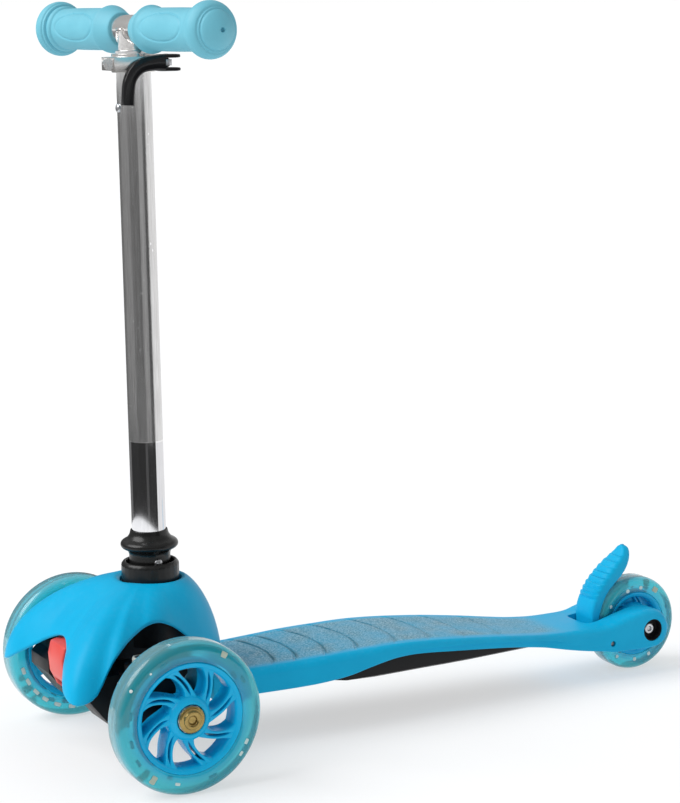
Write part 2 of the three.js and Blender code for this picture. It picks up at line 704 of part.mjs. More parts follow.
// Plug on the tube's lower end: neck in the cup, round flange above
const plugTop = plugBottom + plugHeight;
const flangeLevel = plugBottom + plugHeight * 0.64;
const buttonAt = (y) => [stemX, y, lockButtonRise];
const snapAt = (x) => [x, 0, snapButtonRise];
stemPiece('stem_plug', cut(
  turned([
    [tubeRadius + gap, plugBottom], [plugNeckRadius, plugBottom],
    [plugNeckRadius, flangeLevel - tubeWall * 3], [plugFlangeRadius - tubeWall, flangeLevel - tubeWall * 2],
    [plugFlangeRadius, flangeLevel], [plugFlangeRadius - tubeWall, flangeLevel + tubeWall * 2],
    [plugNeckRadius, plugTop - tubeWall * 3], [tubeRadius + tubeWall, plugTop], [tubeRadius + gap, plugTop],
  ], 'z', stemAt(0), 24),
  rod(buttonAt(0), buttonAt(plugFlangeRadius), lockButtonRadius + gap, 16),
), 'black');

// Lower stem tube with the holes for both buttons
stemPiece('stem_tube', cut(
  ring(tubeInner, tubeRadius, [tubeBottom + gap, tubeTop], 'z', stemAt(0), 24),
  rod(buttonAt(0), buttonAt(plugFlangeRadius), lockButtonRadius + gap, 16),
  rod(snapAt(stemX), snapAt(stemX + plugFlangeRadius), snapButtonRadius + gap, 16),
), 'chrome');

// Lock button: domed head and shank with the leaf that springs it
const domeSteps = 4;
const dome = (radius, height, base) => arc([0, 0], 1, 0, Math.PI / 2, domeSteps)
  .map(([r, h]) => [r * radius, base + h * height]);
const lockFace = plugNeckRadius + buttonProud;
const leafReach = tubeInner / 2;
stemPiece('lock_button', join(
  turned([[0, tubeInner - overrun * 2], [lockButtonRadius, tubeInner - overrun * 2],
    ...dome(lockButtonRadius, buttonProud, lockFace - buttonProud)], 'y', buttonAt(0), 16),
  block([stemX - leafReach / 2, stemX + leafReach / 2],
    [tubeInner - overrun * 2 - leafThickness, tubeInner - overrun * 2 + gap],
    [lockButtonRise - lockButtonRadius, lockButtonRise + socketRadius]),
), 'chrome');

// Clamp: slit ring with a block that the bolt runs through
const clampTop = clampBottom + clampHeight;
const clampRadius = tubeRadius + gap + clampWall;
const blockFront = stemX + clampBlockFront;
const blockRear = stemX - clampBlockRear;
const boltAt = (x) => [x, clampBoltSide, clampMiddle];
stemPiece('clamp_ring', cut(
  join(
    rod(stemAt(clampBottom), stemAt(clampTop), clampRadius, 24),
    block([blockRear, blockFront], [0, clampBoltSide + clampBlockWidth / 2],
      [clampMiddle - clampBlockHeight / 2, clampMiddle + clampBlockHeight / 2]),
  ),
  rod(stemAt(clampBottom - overrun), stemAt(clampTop + overrun), tubeRadius + gap, 24),
  block([stemX - clampSlit / 2, stemX + clampSlit / 2], [0, clampBoltSide + clampBlockWidth],
    [clampBottom - overrun, clampTop + overrun]),
  rod(boltAt(blockRear - overrun), boltAt(blockFront + overrun), clampBoltRadius + gap, 14),
), 'silver');

// Clamp bolt with its eye on the lever's pin, and the domed nut
const nutFace = blockFront + gap;
const pivot = [leverPivotX, clampBoltSide];
const eyeSpan = [clampMiddle - leverForkGap / 2 + gap, clampMiddle + leverForkGap / 2 - gap];
stemPiece('clamp_bolt', cut(
  join(
    rod(boltAt(leverPivotX), boltAt(nutFace + clampNutLength / 2), clampBoltRadius, 14),
    slab(arc(pivot, leverPinRadius + tubeWall, 0, 2 * Math.PI, 16), 'z', eyeSpan),
  ),
  rod([...pivot, clampBottom], [...pivot, clampTop], leverPinRadius + gap, 16),
), 'silver');
stemPiece('clamp_nut', turned([
  [clampBoltRadius + gap, nutFace], [clampNutRadius, nutFace], [clampNutRadius, nutFace + clampNutLength / 2],
  [clampNutRadius * 0.8, nutFace + clampNutLength * 0.85], [0, nutFace + clampNutLength],
  [0, nutFace + clampNutLength / 2 + gap], [clampBoltRadius + gap, nutFace + clampNutLength / 2 + gap],
], 'x', [0, clampBoltSide, clampMiddle], 18), 'silver');
const prongReach = leverForkGap / 2 + leverProng;
const pinEnd = (z) => [...pivot, z];
const leverPin = rod(pinEnd(clampMiddle - prongReach), pinEnd(clampMiddle + prongReach), leverPinRadius, 16);
stemPiece('lever_pin', leverPin, 'silver');

// Clamp lever: fork round the bolt's eye, bar that sweeps forward and down
const leverSide = clampBoltSide + clampBlockWidth / 2 + 2 * gap;
const leverMiddle = leverSide + leverThickness / 2;
const prong = (from, to) => slab([
  ...arc(pivot, leverPinRadius * 2, Math.PI, 2 * Math.PI, 10),
  [leverPivotX + leverPinRadius * 2, leverSide + gap], [leverPivotX - leverPinRadius * 2, leverSide + gap],
], 'z', [from, to]);
const leverRoute = new THREE.CatmullRomCurve3([
  [leverPivotX - leverPinRadius * 2, leverMiddle, clampMiddle],
  [leverPivotX + leverReach * 0.25, leverMiddle, clampMiddle],
  [leverPivotX + leverReach * 0.6, leverMiddle, clampMiddle - leverDrop * 0.12],
  [leverPivotX + leverReach * 0.85, leverMiddle, clampMiddle - leverDrop * 0.42],
  [leverPivotX + leverReach * 0.88, leverMiddle, clampMiddle - leverDrop],
].map((point) => new THREE.Vector3(...point)));
const leverSteps = 12;
const leverBar = skin(Array.from({ length: leverSteps + 1 }, (_, i) => {
  const share = i / leverSteps;
  const at = leverRoute.getPointAt(share);
  const along = leverRoute.getTangentAt(share);
  const across = new THREE.Vector3(-along.z, 0, along.x);
  const wide = THREE.MathUtils.lerp(prongReach, leverWidth / 2, Math.min(1, share * 2));
  const thick = leverThickness / 2;
  return [[1, 1], [1, -1], [-1, -1], [-1, 1]].map(([a, b]) => [
    at.x + across.x * wide * a, at.y + thick * b, at.z + across.z * wide * a,
  ]);
}));
stemPiece('clamp_lever', cut(
  join(
    leverBar,
    prong(clampMiddle - prongReach, clampMiddle - leverForkGap / 2),
    prong(clampMiddle + leverForkGap / 2, clampMiddle + prongReach),
  ),
  rod([...pivot, clampBottom - overrun], [...pivot, clampTop + overrun], leverPinRadius + gap, 16),
), 'glossBlack');

// Handlebar: crossbar welded on the inner tube, which slides in the stem tube
const barAxis = new THREE.Vector3(-Math.sin(barTurn), Math.cos(barTurn), 0);
const barPoint = (reach) => [stemX + barAxis.x * reach, barAxis.y * reach, barHeight];
const slotHalf = snapButtonRadius + gap;
const handlebarBody = cut(
  join(
    rod(stemAt(innerTubeBottom), stemAt(barHeight), innerTubeRadius, 20),
    rod(barPoint(-barHalfLength), barPoint(barHalfLength), barRadius, 20),
  ),
  rod(stemAt(innerTubeBottom - overrun), stemAt(barHeight), innerTubeRadius - innerTubeWall, 20),
  rod(barPoint(-barHalfLength - overrun), barPoint(barHalfLength + overrun), barRadius - innerTubeWall, 20),
  block([stemX, stemX + tubeRadius], [-slotHalf, slotHalf],
    [snapButtonRise - heightTravel - slotHalf - gap, snapButtonRise + slotHalf + gap]),
);
stemPiece('handlebar', handlebarBody, 'chrome');

// Snap button through the stem tube, on its leaf inside the inner tube's slot
const snapFace = tubeRadius + buttonProud;
const snapRoot = innerTubeRadius - innerTubeWall - overrun * 2;
stemPiece('snap_button', join(
  turned([[0, snapRoot], [snapButtonRadius, snapRoot],
    ...dome(snapButtonRadius, buttonProud, snapFace - buttonProud)], 'x', [stemX, 0, snapButtonRise], 14),
  block([stemX + snapRoot - leafThickness, stemX + snapRoot + gap],
    [-snapButtonRadius / 2, snapButtonRadius / 2],
    [snapButtonRise - socketRadius, snapButtonRise + snapButtonRadius]),
), 'chrome');

// Grips: inner flange, barrel, stepped knob with a domed end
const knobStart = gripEnd - gripKnobRadius;
const gripBore = barRadius + gap;
const gripProfile = [
  [gripBore, gripStart], [gripRadius, gripStart], [gripFlangeRadius, gripStart + gripFlangeRadius / 3],
  [gripRadius, gripStart + gripFlangeRadius * 0.75], [gripRadius, knobStart - gripRadius / 3],
  [gripKnobRadius * 0.85, knobStart - gap * 3], [gripKnobRadius * 0.97, knobStart],
  [gripKnobRadius, knobStart + gripKnobRadius / 5],
  [gripKnobRadius * 0.93, knobStart + gripKnobRadius * 0.45],
  [gripKnobRadius * 0.78, knobStart + gripKnobRadius * 0.7],
  [gripKnobRadius * 0.5, knobStart + gripKnobRadius * 0.9],
  [gripKnobRadius * 0.2, gripEnd], [0, gripEnd], [0, barHalfLength + gap], [gripBore, barHalfLength + gap],
];
const gripFrame = (sign) => (solid) => {
  const geometry = geometryOf(sign > 0 ? solid : mirrored(solid));
  geometry.rotateZ(barTurn);
  return solidOf(geometry.translate(stemX, 0, barHeight));
};
const grip = turned(gripProfile, 'y', [0, 0, 0], 20);
stemPiece('grip_left', gripFrame(1)(grip), 'gripBlue');
stemPiece('grip_right', gripFrame(-1)(grip), 'gripBlue');

// Deck: rings of [y, z] points at stations along its length. Each row is a share of
// the length, of the half width, and two shares of the depth over the lower edge.
const deckLength = wheelbase - slotFront / 2 - deckFront;
const deckTop = deckBase + deckDepth;
const deckStationShares = [
  [0, 0.88, 0.83, 0], [0.05, 0.905, 0.83, 0], [0.1, 0.93, 0.83, 0], [0.2, 0.98, 0.88, 0.03],
  [0.25, 1, 0.91, 0.08], [0.3, 1, 0.93, 0.17], [0.35, 0.99, 0.94, 0.34], [0.4, 0.965, 0.945, 0.46],
  [0.45, 0.94, 0.92, 0.465], [0.5, 0.92, 0.865, 0.415], [0.55, 0.904, 0.79, 0.34],
  [0.6, 0.879, 0.705, 0.26], [0.65, 0.842, 0.605, 0.17], [0.7, 0.8, 0.5, 0.07],
  [0.75, 0.754, 0.385, -0.055], [0.8, 0.712, 0.285, -0.2], [0.85, 0.69, 0.23, -0.37],
  [0.9, 0.685, 0.22, -0.53], [0.95, 0.7, 0.235, -0.65], [1, 0.711, 0.26, -0.71],
];
const deckAt = smooth(deckStationShares.map(([along, wide, top, low]) => [
  deckFront + deckLength * along, deckHalfWidth * wide,
  deckBase + deckDepth * top, deckBase + deckDepth * low,
]));
const deckRing = (behind, inset, [lowest, highest]) => {
  const [wide, top, low] = deckAt(behind);
  const side = wide - inset;
  const [up, down] = [highest === undefined ? top : top - highest, lowest === undefined ? low : lowest];
  const round = Math.min((up - down) / 2, deckWall);
  const right = [
    [side - round / 2, down], [side, down + round / 2], [side, up - round],
    [side - round * 0.3, up - round * 0.3], [side - round, up],
  ];
  const left = right.map(([y, z]) => [-y, z]).reverse();
  return [...right, ...left].map(([y, z]) => [-behind, y, z]);
};
const stations = (from, to, count) => Array.from({ length: count + 1 },
  (_, i) => from + ((to - from) * i) / count);
const rearAt = (along, y, up) => [-wheelbase + along, y, rearLevel + up];
const forkShares = [
  [1.16, 0.215], [0.8, 0.233], [0.52, 0.31], [0.24, 0.376], [0, 0.379], [-0.167, 0.333],
  [-0.286, 0.238], [-0.352, 0.083], [-0.357, -0.071], [-0.31, -0.226], [-0.19, -0.333],
  [0, -0.374], [0.476, -0.374], [1.16, -0.335],
];
const forkPoint = ([along, up]) => [-wheelbase + along * rearWheelRadius, rearLevel + up * rearWheelRadius];
const forkOutline = forkShares.map(forkPoint);
const taperStart = -wheelbase + counterboreRadius + forkWall;
const forkEnd = -wheelbase - counterboreRadius - forkBossRadius;
const forkTrim = slab([
  [taperStart, forkOuter + overrun], [taperStart, forkOuter],
  [-wheelbase, forkOuter - forkTaper / 3], [forkEnd, forkOuter - forkTaper], [forkEnd, forkOuter + overrun],
], 'z', [0, rearLevel * 2]);
const forkHollow = block(
  [taperStart + forkWall, -wheelbase + pedalPivotLead - brakePinRadius - forkWall],
  [forkInner + forkWall, forkOuter - forkWall], [0, rearLevel + forkWall / 2],
);
const forkArm = join(
  cut(slab(forkOutline, 'y', [forkInner, forkOuter]), forkTrim),
  rod(rearAt(0, half + gap * 2, 0), rearAt(0, forkInner + overrun, 0), forkBossRadius),
);
const slotLimits = [-wheelbase - rearWheelRadius, -wheelbase + slotFront];
const deckStations = stations(deckFront, deckFront + deckLength, 20).reverse();
const pocketStations = stations(pocketFront, pocketRear, 12).reverse();
const deckBlank = skin(deckStations.map((x) => deckRing(x, 0, [])));
const pocket = skin(pocketStations.map((x) => deckRing(x, deckWall, [0, deckSkin])));
const pinPlace = (y) => rearAt(pedalPivotLead, y, -pedalPivotDrop);
const [springX, , springLevel] = pinPlace(0);
const springLegX = springX + springRadius;
const springLegEnd = springLeg + 2 * gap;
const springPocket = [forkInner - gap, forkInner + (springTurns + 1) * springWire * 2 + gap];
const counterbore = (sign) => rod(rearAt(0, sign * (forkOuter - counterboreDepth), 0),
  rearAt(0, sign * (forkOuter + overrun), 0), counterboreRadius, 24);
const deckSolid = cut(
  join(
    cut(deckBlank, pocket, block(slotLimits, [-forkInner, forkInner], [0, deckTop])),
    forkArm, mirrored(forkArm),
  ),
  forkHollow, mirrored(forkHollow), counterbore(1), counterbore(-1),
  rod(rearAt(0, -forkOuter, 0), rearAt(0, forkOuter, 0), axleRadius + gap),
  rod(pinPlace(-forkOuter - overrun), pinPlace(forkOuter + overrun), brakePinRadius + gap, 14),
  ring(brakePinRadius, springRadius + springWire + 2 * gap, springPocket, 'y', pinPlace(0), 16),
  block([springLegX - springWire, springLegX + springWire], springPocket,
    [springLevel - springLegEnd, springLevel + springLegEnd]),
);
piece('deck', deckSolid, 'blue');

// Underframe: black ribbed tray that hangs below the deck
const frameHang = deckBase - frameDrop;
const frameRing = (behind) => {
  const [wide, top, low] = deckAt(behind);
  const side = wide - deckWall - overrun;
  const up = top - deckSkin - gap;
  const down = Math.min(frameHang, low - gap);
  const round = frameRib;
  const right = [
    [side - 2 * round, down], [side, down + round], [side, up - 2 * round], [side - 2 * round, up],
  ];
  return [...right, ...right.map(([y, z]) => [-y, z]).reverse()].map(([y, z]) => [-behind, y, z]);
};
const frameBlank = skin(stations(frameFront, frameRear, 12).map(frameRing).reverse());
const bayLength = (frameRear - frameFront - frameRib) / frameBays;
const bays = stations(frameFront + frameRib, frameRear, frameBays).slice(0, frameBays).flatMap((start) => {
  const narrow = Math.min(...[start, start + bayLength].map((x) => deckAt(x)[0]));
  const outer = narrow - deckWall - overrun - 2 * frameRib;
  const ceiling = Math.min(...[start, start + bayLength].map((x) => deckAt(x)[1])) - deckSkin - frameRib;
  return [[-outer, -frameRib / 2], [frameRib / 2, outer]]
    .map((span) => block([-start - bayLength + frameRib, -start], span, [0, ceiling]));
});
piece('underframe', cut(frameBlank, ...bays), 'black');

// Rear axle bolt and its nut, both sunk in the fork's counterbores
const boltFace = forkOuter - counterboreDepth + gap;
piece('rear_axle_bolt', turned([
  [0, -boltFace - rearBoltHead], [axleRadius, -boltFace - rearBoltHead], [axleRadius, boltFace],
  [rearBoltHeadRadius, boltFace], [rearBoltHeadRadius, boltFace + rearBoltHead / 2],
  [rearBoltHeadRadius * 0.7, boltFace + rearBoltHead], [0, boltFace + rearBoltHead],
], 'y', rearAt(0, 0, 0), 20), 'silver');
const nutBore = arc([-wheelbase, rearLevel], axleRadius + gap, 0, 2 * Math.PI, 16);
piece('rear_axle_nut', slab(arc([-wheelbase, rearLevel], rearBoltHeadRadius, 0, 2 * Math.PI, 6), 'y',
  [-boltFace - rearBoltHead + gap, -boltFace], [nutBore]), 'silver');

// Brake pedal: a fin over the tyre with a ribbed front, on two cheeks, each on a pin
// in the fork. Shares are of the wheel's radius ahead and of the pedal's rise up.
const pedalFrontShares = [
  [1.17, 0.05], [1.19, 0.2], [1.175, 0.3], [1.12, 0.4], [1.05, 0.5], [0.93, 0.6], [0.79, 0.7], [0.66, 0.8],
  [0.54, 0.9], [0.44, 0.95],
];
const pedalBackShares = [
  [0.3, 1], [0.21, 0.95], [0.22, 0.84], [0.26, 0.74], [0.36, 0.65], [0.55, 0.55], [0.74, 0.44], [0.9, 0.32],
  [1.02, 0.18], [1.05, 0.05],
];
const pedalPoint = ([along, up]) => [-wheelbase + along * rearWheelRadius, rearLevel + up * pedalRise];
const pedalFront = smooth(pedalFrontShares.map(([along, up]) => [up, along]));
const ribStartShare = 0.28;
const ribEndShare = 0.86;
const ribPitchShare = (ribEndShare - ribStartShare) / pedalRibs;
const ribStarts = Array.from({ length: pedalRibs }, (_, i) => ribStartShare + i * ribPitchShare);
const pedalTeeth = ribStarts.flatMap((up) => {
  const [x, z] = pedalPoint([pedalFront(up)[0], up]);
  const [tipX, tipZ] = pedalPoint([pedalFront(up + ribPitchShare * 0.7)[0], up + ribPitchShare * 0.7]);
  return [[x - pedalRibDepth / 2, z], [tipX + pedalRibDepth / 2, tipZ]];
});
const pedalOutline = [
  ...pedalFrontShares.filter(([, up]) => up < ribStartShare).map(pedalPoint), ...pedalTeeth,
  ...pedalFrontShares.filter(([, up]) => up > ribEndShare).map(pedalPoint), ...pedalBackShares.map(pedalPoint),
];
const pedalWidthShares = [[0, 1], [0.55, 1], [0.72, 0.93], [0.85, 0.75], [0.94, 0.5], [1, 0.2]];
const pedalTrim = (sign) => slab([
  ...pedalWidthShares.map(([up, wide]) => [sign * pedalHalfWidth * wide, rearLevel + pedalRise * up]),
  [sign * pedalHalfWidth * 0.2, rearLevel + pedalRise + overrun],
  [sign * 2 * pedalHalfWidth, rearLevel + pedalRise + overrun], [sign * 2 * pedalHalfWidth, rearLevel],
], 'x', slotLimits);
const cheekOutline = [
  ...arc([-wheelbase + pedalPivotLead, rearLevel - pedalPivotDrop], cheekRadius, Math.PI / 2, 2 * Math.PI, 12),
  pedalPoint([1.17, 0.06]), pedalPoint([1.15, 0.2]), pedalPoint([1, 0.2]),
];
const cheek = slab(cheekOutline, 'y', [half + gap * 2, half + gap * 2 + cheekThickness]);
piece('brake_pedal', cut(
  join(
    cut(slab(pedalOutline, 'y', [-pedalHalfWidth, pedalHalfWidth]), pedalTrim(1), pedalTrim(-1)),
    cheek, mirrored(cheek),
  ),
  rod(pinPlace(-forkInner), pinPlace(forkInner), brakePinRadius + gap, 14),
), 'blue');
pair('brake_pin', rod(pinPlace(half + gap * 2), pinPlace(forkOuter - 2 * gap), brakePinRadius, 14), 'silver');

// Torsion spring of the pedal: turns round the left pin between two straight legs
const springSteps = springTurns * 8;
const springSection = (turns, leg) => {
  const angle = 2 * Math.PI * turns;
  const [px, py, pz] = pinPlace(forkInner + gap + springWire * (1 + 2 * turns));
  return arc([0, 0], springWire / 2, 0, 2 * Math.PI, 6).map(([out, side]) => [
    px + (springRadius + out) * Math.cos(angle), py + side, pz + (springRadius + out) * Math.sin(angle) + leg,
  ]);
};
piece('brake_spring', skin([
  springSection(0, -springLeg),
  ...Array.from({ length: springSteps + 1 }, (_, i) => springSection((springTurns * i) / springSteps, 0)),
  springSection(springTurns, springLeg),
]), 'silver');

// Front cover: dome round the stem. Each row is a direction from straight ahead,
// the outline's reach there, and the height of the lower edge.
const coverShares = [
  [0, 0.7, 0.51], [0.078, 0.742, 0.434], [0.13, 0.843, 0.276], [0.172, 0.948, 0.12], [0.208, 1, 0.045],
  [0.232, 0.975, 0.06], [0.25, 0.935, 0.14], [0.262, 0.92, 0.29], [0.272, 0.925, 0.42], [0.285, 0.915, 0.53],
  [0.302, 0.87, 0.63], [0.335, 0.81, 0.72], [0.367, 0.785, 0.76], [0.4, 0.725, 0.76], [0.433, 0.65, 0.725],
  [0.478, 0.565, 0.655], [0.544, 0.505, 0.525], [0.644, 0.477, 0.36], [0.744, 0.462, 0.25], [0.867, 0.455, 0.21],
  [1, 0.455, 0.205],
];
const coverAt = smooth(coverShares.map(([turn, out, up]) => [turn * Math.PI, coverReach * out, up]));
const coverFall = 1.6; // how late the dome turns down
const coverHeight = coverTop - coverBase;
const crestStart = THREE.MathUtils.degToRad(25);
const crestEnd = THREE.MathUtils.degToRad(65);
const coverPoint = (angle, share, inset) => {
  const crest = coverCrest * THREE.MathUtils.smoothstep(Math.abs(angle), crestStart, crestEnd);
  const [reach, edgeShare] = coverAt(Math.min(Math.abs(angle), Math.PI));
  const span = reach - coverHole;
  const lowest = (1 - edgeShare ** 2) ** (1 / coverFall);
  const out = lowest * Math.sin((share * Math.PI) / 2);
  const up = Math.sqrt(1 - out ** coverFall);
  const steepness = (coverHeight / span) * (coverFall / 2) * (out ** (coverFall - 1)) / up;
  const outward = new THREE.Vector2(steepness, 1).normalize();
  const radius = coverHole + span * out - inset * outward.x;
  const height = coverBase + (coverHeight + crest * (1 - share)) * up - inset * outward.y;
  return [stemX + radius * Math.cos(angle), radius * Math.sin(angle), height];
};
const coverTurns = coverShares.flatMap(([turn], i) => {
  const next = coverShares[i + 1];
  return next && next[0] - turn > 0.04 ? [turn, (turn + next[0]) / 2] : [turn];
});
const otherSide = coverTurns.slice(1, -1).reverse().map((turn) => -turn);
const coverAngles = [...coverTurns, ...otherSide].map((turn) => turn * Math.PI);
const coverSteps = 6;
const coverRings = coverAngles.map((angle) => {
  const run = Array.from({ length: coverSteps + 1 }, (_, i) => i / coverSteps);
  const outer = run.map((share) => coverPoint(angle, share, 0));
  const inner = run.reverse().map((share) => coverPoint(angle, share, coverWall));
  return [...outer, ...inner];
});
piece('front_cover', skin(coverRings, true), 'blue');

export default scooter;
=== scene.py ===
# %% [markdown]
# A three wheel kids scooter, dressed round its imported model. Every piece is in metres
# in the model's own frame: +X forward, +Y to the rider's left, +Z up, and the origin
# on the ground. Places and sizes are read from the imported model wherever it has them.

# %% Load the frame
import json
import math

import bmesh
import bpy
import numpy as np
from mathutils import Matrix, Vector


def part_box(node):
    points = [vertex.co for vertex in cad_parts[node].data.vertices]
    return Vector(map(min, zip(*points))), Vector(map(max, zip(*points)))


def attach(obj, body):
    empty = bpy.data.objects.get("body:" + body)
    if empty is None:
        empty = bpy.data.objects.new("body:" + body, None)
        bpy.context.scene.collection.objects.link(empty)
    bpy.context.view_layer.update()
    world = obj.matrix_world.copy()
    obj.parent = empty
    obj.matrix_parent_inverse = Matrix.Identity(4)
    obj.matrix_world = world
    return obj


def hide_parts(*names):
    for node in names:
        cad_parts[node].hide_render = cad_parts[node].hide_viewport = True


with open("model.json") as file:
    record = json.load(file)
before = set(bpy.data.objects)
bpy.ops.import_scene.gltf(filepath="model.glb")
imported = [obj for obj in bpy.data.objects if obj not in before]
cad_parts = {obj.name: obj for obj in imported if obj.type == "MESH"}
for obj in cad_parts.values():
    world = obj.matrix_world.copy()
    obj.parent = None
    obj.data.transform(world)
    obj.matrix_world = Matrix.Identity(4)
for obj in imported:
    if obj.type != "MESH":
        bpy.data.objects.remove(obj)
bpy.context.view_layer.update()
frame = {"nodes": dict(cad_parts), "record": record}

MM = 0.001
nodes = frame["nodes"]
joints = {joint["name"]: joint for joint in frame["record"]["behaviour"]["joints"]}
body_of = {node: body for body, members in frame["record"]["behaviour"]["bodies"].items() for node in members}


def span(node):
    """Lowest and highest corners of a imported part, as arrays."""
    low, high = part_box(node)
    return np.array(low), np.array(high)


def middle(node):
    """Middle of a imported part's box."""
    low, high = span(node)
    return (low + high) / 2


# %% [markdown]
# The photograph looks at the scooter from the front left and a little above, through
# a long lens. The camera stands where a solve on the wheels, the stem and the deck
# puts it, and turns a third of a degree about its own axis.

# %% Camera
camera_place = Vector((0.90965, 1.6514, 0.5896))
camera_target = Vector((0.03131, 0.0, 0.26658))
camera_roll = math.radians(-0.35)
camera_data = bpy.data.cameras.new("camera")
camera_data.lens = 103.56
camera_data.sensor_width = 36
camera_data.sensor_fit = "AUTO"
camera_data.clip_end = 5000
print("camera at", tuple(camera_place), "with a lens of", camera_data.lens, "mm")
camera = bpy.data.objects.new("camera", camera_data)
bpy.context.scene.collection.objects.link(camera)
looking = (camera_target - camera_place).to_track_quat("-Z", "Y").to_matrix().to_4x4()
camera.matrix_world = Matrix.Translation(camera_place) @ looking @ Matrix.Rotation(camera_roll, 4, "Z")
bpy.context.scene.camera = camera

# %% [markdown]
# A product photograph on white: a pale floor that runs out to the horizon, an even sky,
# and a broad key from the scooter's front. Bright metal and black plastic show what
# stands round them, so screens are added in the next step.

# %% Studio
floor_reach = 2000.0
floor_mesh = bpy.data.meshes.new("floor")
floor_corners = [(-floor_reach, -floor_reach, 0), (floor_reach, -floor_reach, 0),
                 (floor_reach, floor_reach, 0), (-floor_reach, floor_reach, 0)]
floor_mesh.from_pydata(floor_corners, [], [(0, 1, 2, 3)])
floor = bpy.data.objects.new("floor", floor_mesh)
bpy.context.scene.collection.objects.link(floor)

world = bpy.data.worlds.new("studio")
world.use_nodes = True
world_nodes, world_links = world.node_tree.nodes, world.node_tree.links
paths = world_nodes.new("ShaderNodeLightPath")
# The sky that lights the scooter, the greyer one in reflections, and the white behind it
sky, backdrop = (world_nodes.new("ShaderNodeMixRGB") for _ in range(2))
sky.inputs["Color1"].default_value = (0.54, 0.55, 0.56, 1)
sky.inputs["Color2"].default_value = (0.40, 0.40, 0.40, 1)
backdrop.inputs["Color2"].default_value = (1, 1, 1, 1)
world_links.new(paths.outputs["Is Glossy Ray"], sky.inputs["Fac"])
world_links.new(paths.outputs["Is Camera Ray"], backdrop.inputs["Fac"])
world_links.new(sky.outputs["Color"], backdrop.inputs["Color1"])
world_links.new(backdrop.outputs["Color"], world_nodes["Background"].inputs["Color"])
bpy.context.scene.world = world

key_data = bpy.data.lights.new("key", "SUN")
key_data.energy = 2.5
key_data.angle = math.radians(50)
key = bpy.data.objects.new("key", key_data)
key_heading, key_rise = math.radians(-12), math.radians(42)
key_way = Vector((math.cos(key_heading) * math.cos(key_rise), math.sin(key_heading) * math.cos(key_rise),
                  math.sin(key_rise)))
key.rotation_euler = key_way.to_track_quat("Z", "Y").to_euler()
bpy.context.scene.collection.objects.link(key)
print("sky and key ready")

# %% [markdown]
# A ring of low and tall screens stands round the scooter, most of them dark and one
# bright. They are seen in reflections only and take no light away. Each gives one of the
# dark or bright lines that run down the tube. Lamps could do this too, but they would
# also light the floor and the body.

# %% Screens
# Heading from and to in degrees, how light it is, and its lower and upper edge
screen_strips = [
    (-118, -52, 0.16, 0.0, 0.5), (-52, 15, 0.035, 0.0, 0.1), (-52, 15, 0.24, 0.1, 0.5),
    (15, 62, 0.03, 0.0, 0.1), (15, 62, 0.15, 0.1, 0.5), (62, 78, 0.08, 0.0, 0.1),
    (62, 76, 0.12, 0.1, 0.5), (78, 134, 0.035, 0.0, 0.1), (76, 110, 0.32, 0.1, 0.5),
    (110, 134, 0.06, 0.1, 0.5), (134, 242, 0.85, 0.0, 0.5),
]
screen_middle, screen_reach, screen_posts = 0.2, 0.8, 12
for number, (first, last, level, low, high) in enumerate(screen_strips):
    heading = np.radians(np.linspace(first, last, screen_posts))
    foot = np.stack([screen_middle + screen_reach * np.cos(heading), screen_reach * np.sin(heading),
                     0 * heading + low], 1)
    points = np.concatenate([foot, foot + [0, 0, high - low]])
    faces = [(k, k + 1, k + screen_posts + 1, k + screen_posts) for k in range(screen_posts - 1)]
    screen_mesh = bpy.data.meshes.new(f"screen_{number}")
    screen_mesh.from_pydata(points.tolist(), [], faces)
    screen = bpy.data.objects.new(f"screen_{number}", screen_mesh)
    screen_finish = bpy.data.materials.new(f"screen_{number}")
    screen_finish.use_nodes = True
    cloth = screen_finish.node_tree.nodes["Principled BSDF"]
    cloth.inputs["Base Color"].default_value = (0, 0, 0, 1)
    cloth.inputs["Specular IOR Level"].default_value = 0
    cloth.inputs["Emission Color"].default_value = (level, level, level, 1)
    cloth.inputs["Emission Strength"].default_value = 1
    screen_mesh.materials.append(screen_finish)
    bpy.context.scene.collection.objects.link(screen)
    screen.visible_camera = screen.visible_diffuse = screen.visible_shadow = False
    screen.visible_transmission = False
bpy.context.scene.view_settings.view_transform = "Standard"
print("screens", len(screen_strips))

# %% [markdown]
# Most pieces are surfaces on a grid: rows along the piece, columns round it. The faces
# of any grid follow from its counts alone, so one helper numbers them all. A surface is
# kept as points and faces until it becomes an object, so that several can share one.

# %% Grids and objects
def grid_faces(rows, columns, round_rows=False, round_columns=False):
    """Four corners of every cell: a point, its right neighbour, and the two below them."""
    i, j = np.meshgrid(np.arange(rows if round_rows else rows - 1),
                       np.arange(columns if round_columns else columns - 1), indexing="ij")
    right, below = (j + 1) % columns, (i + 1) % rows
    corners = [i * columns + j, i * columns + right, below * columns + right, below * columns + j]
    return np.stack(corners, -1).reshape(-1, 4)


def surface(grid, round_rows=False, round_columns=True):
    """Points and faces of a grid of points shaped (rows, columns, 3)."""
    rows, columns = grid.shape[:2]
    return grid.reshape(-1, 3), grid_faces(rows, columns, round_rows, round_columns)


def together(*surfaces):
    """Several surfaces as one: the points follow each other, and so do the faces."""
    starts = np.cumsum([0] + [len(points) for points, _ in surfaces[:-1]])
    faces = [found + start for (_, found), start in zip(surfaces, starts)]
    return np.concatenate([points for points, _ in surfaces]), np.concatenate(faces)


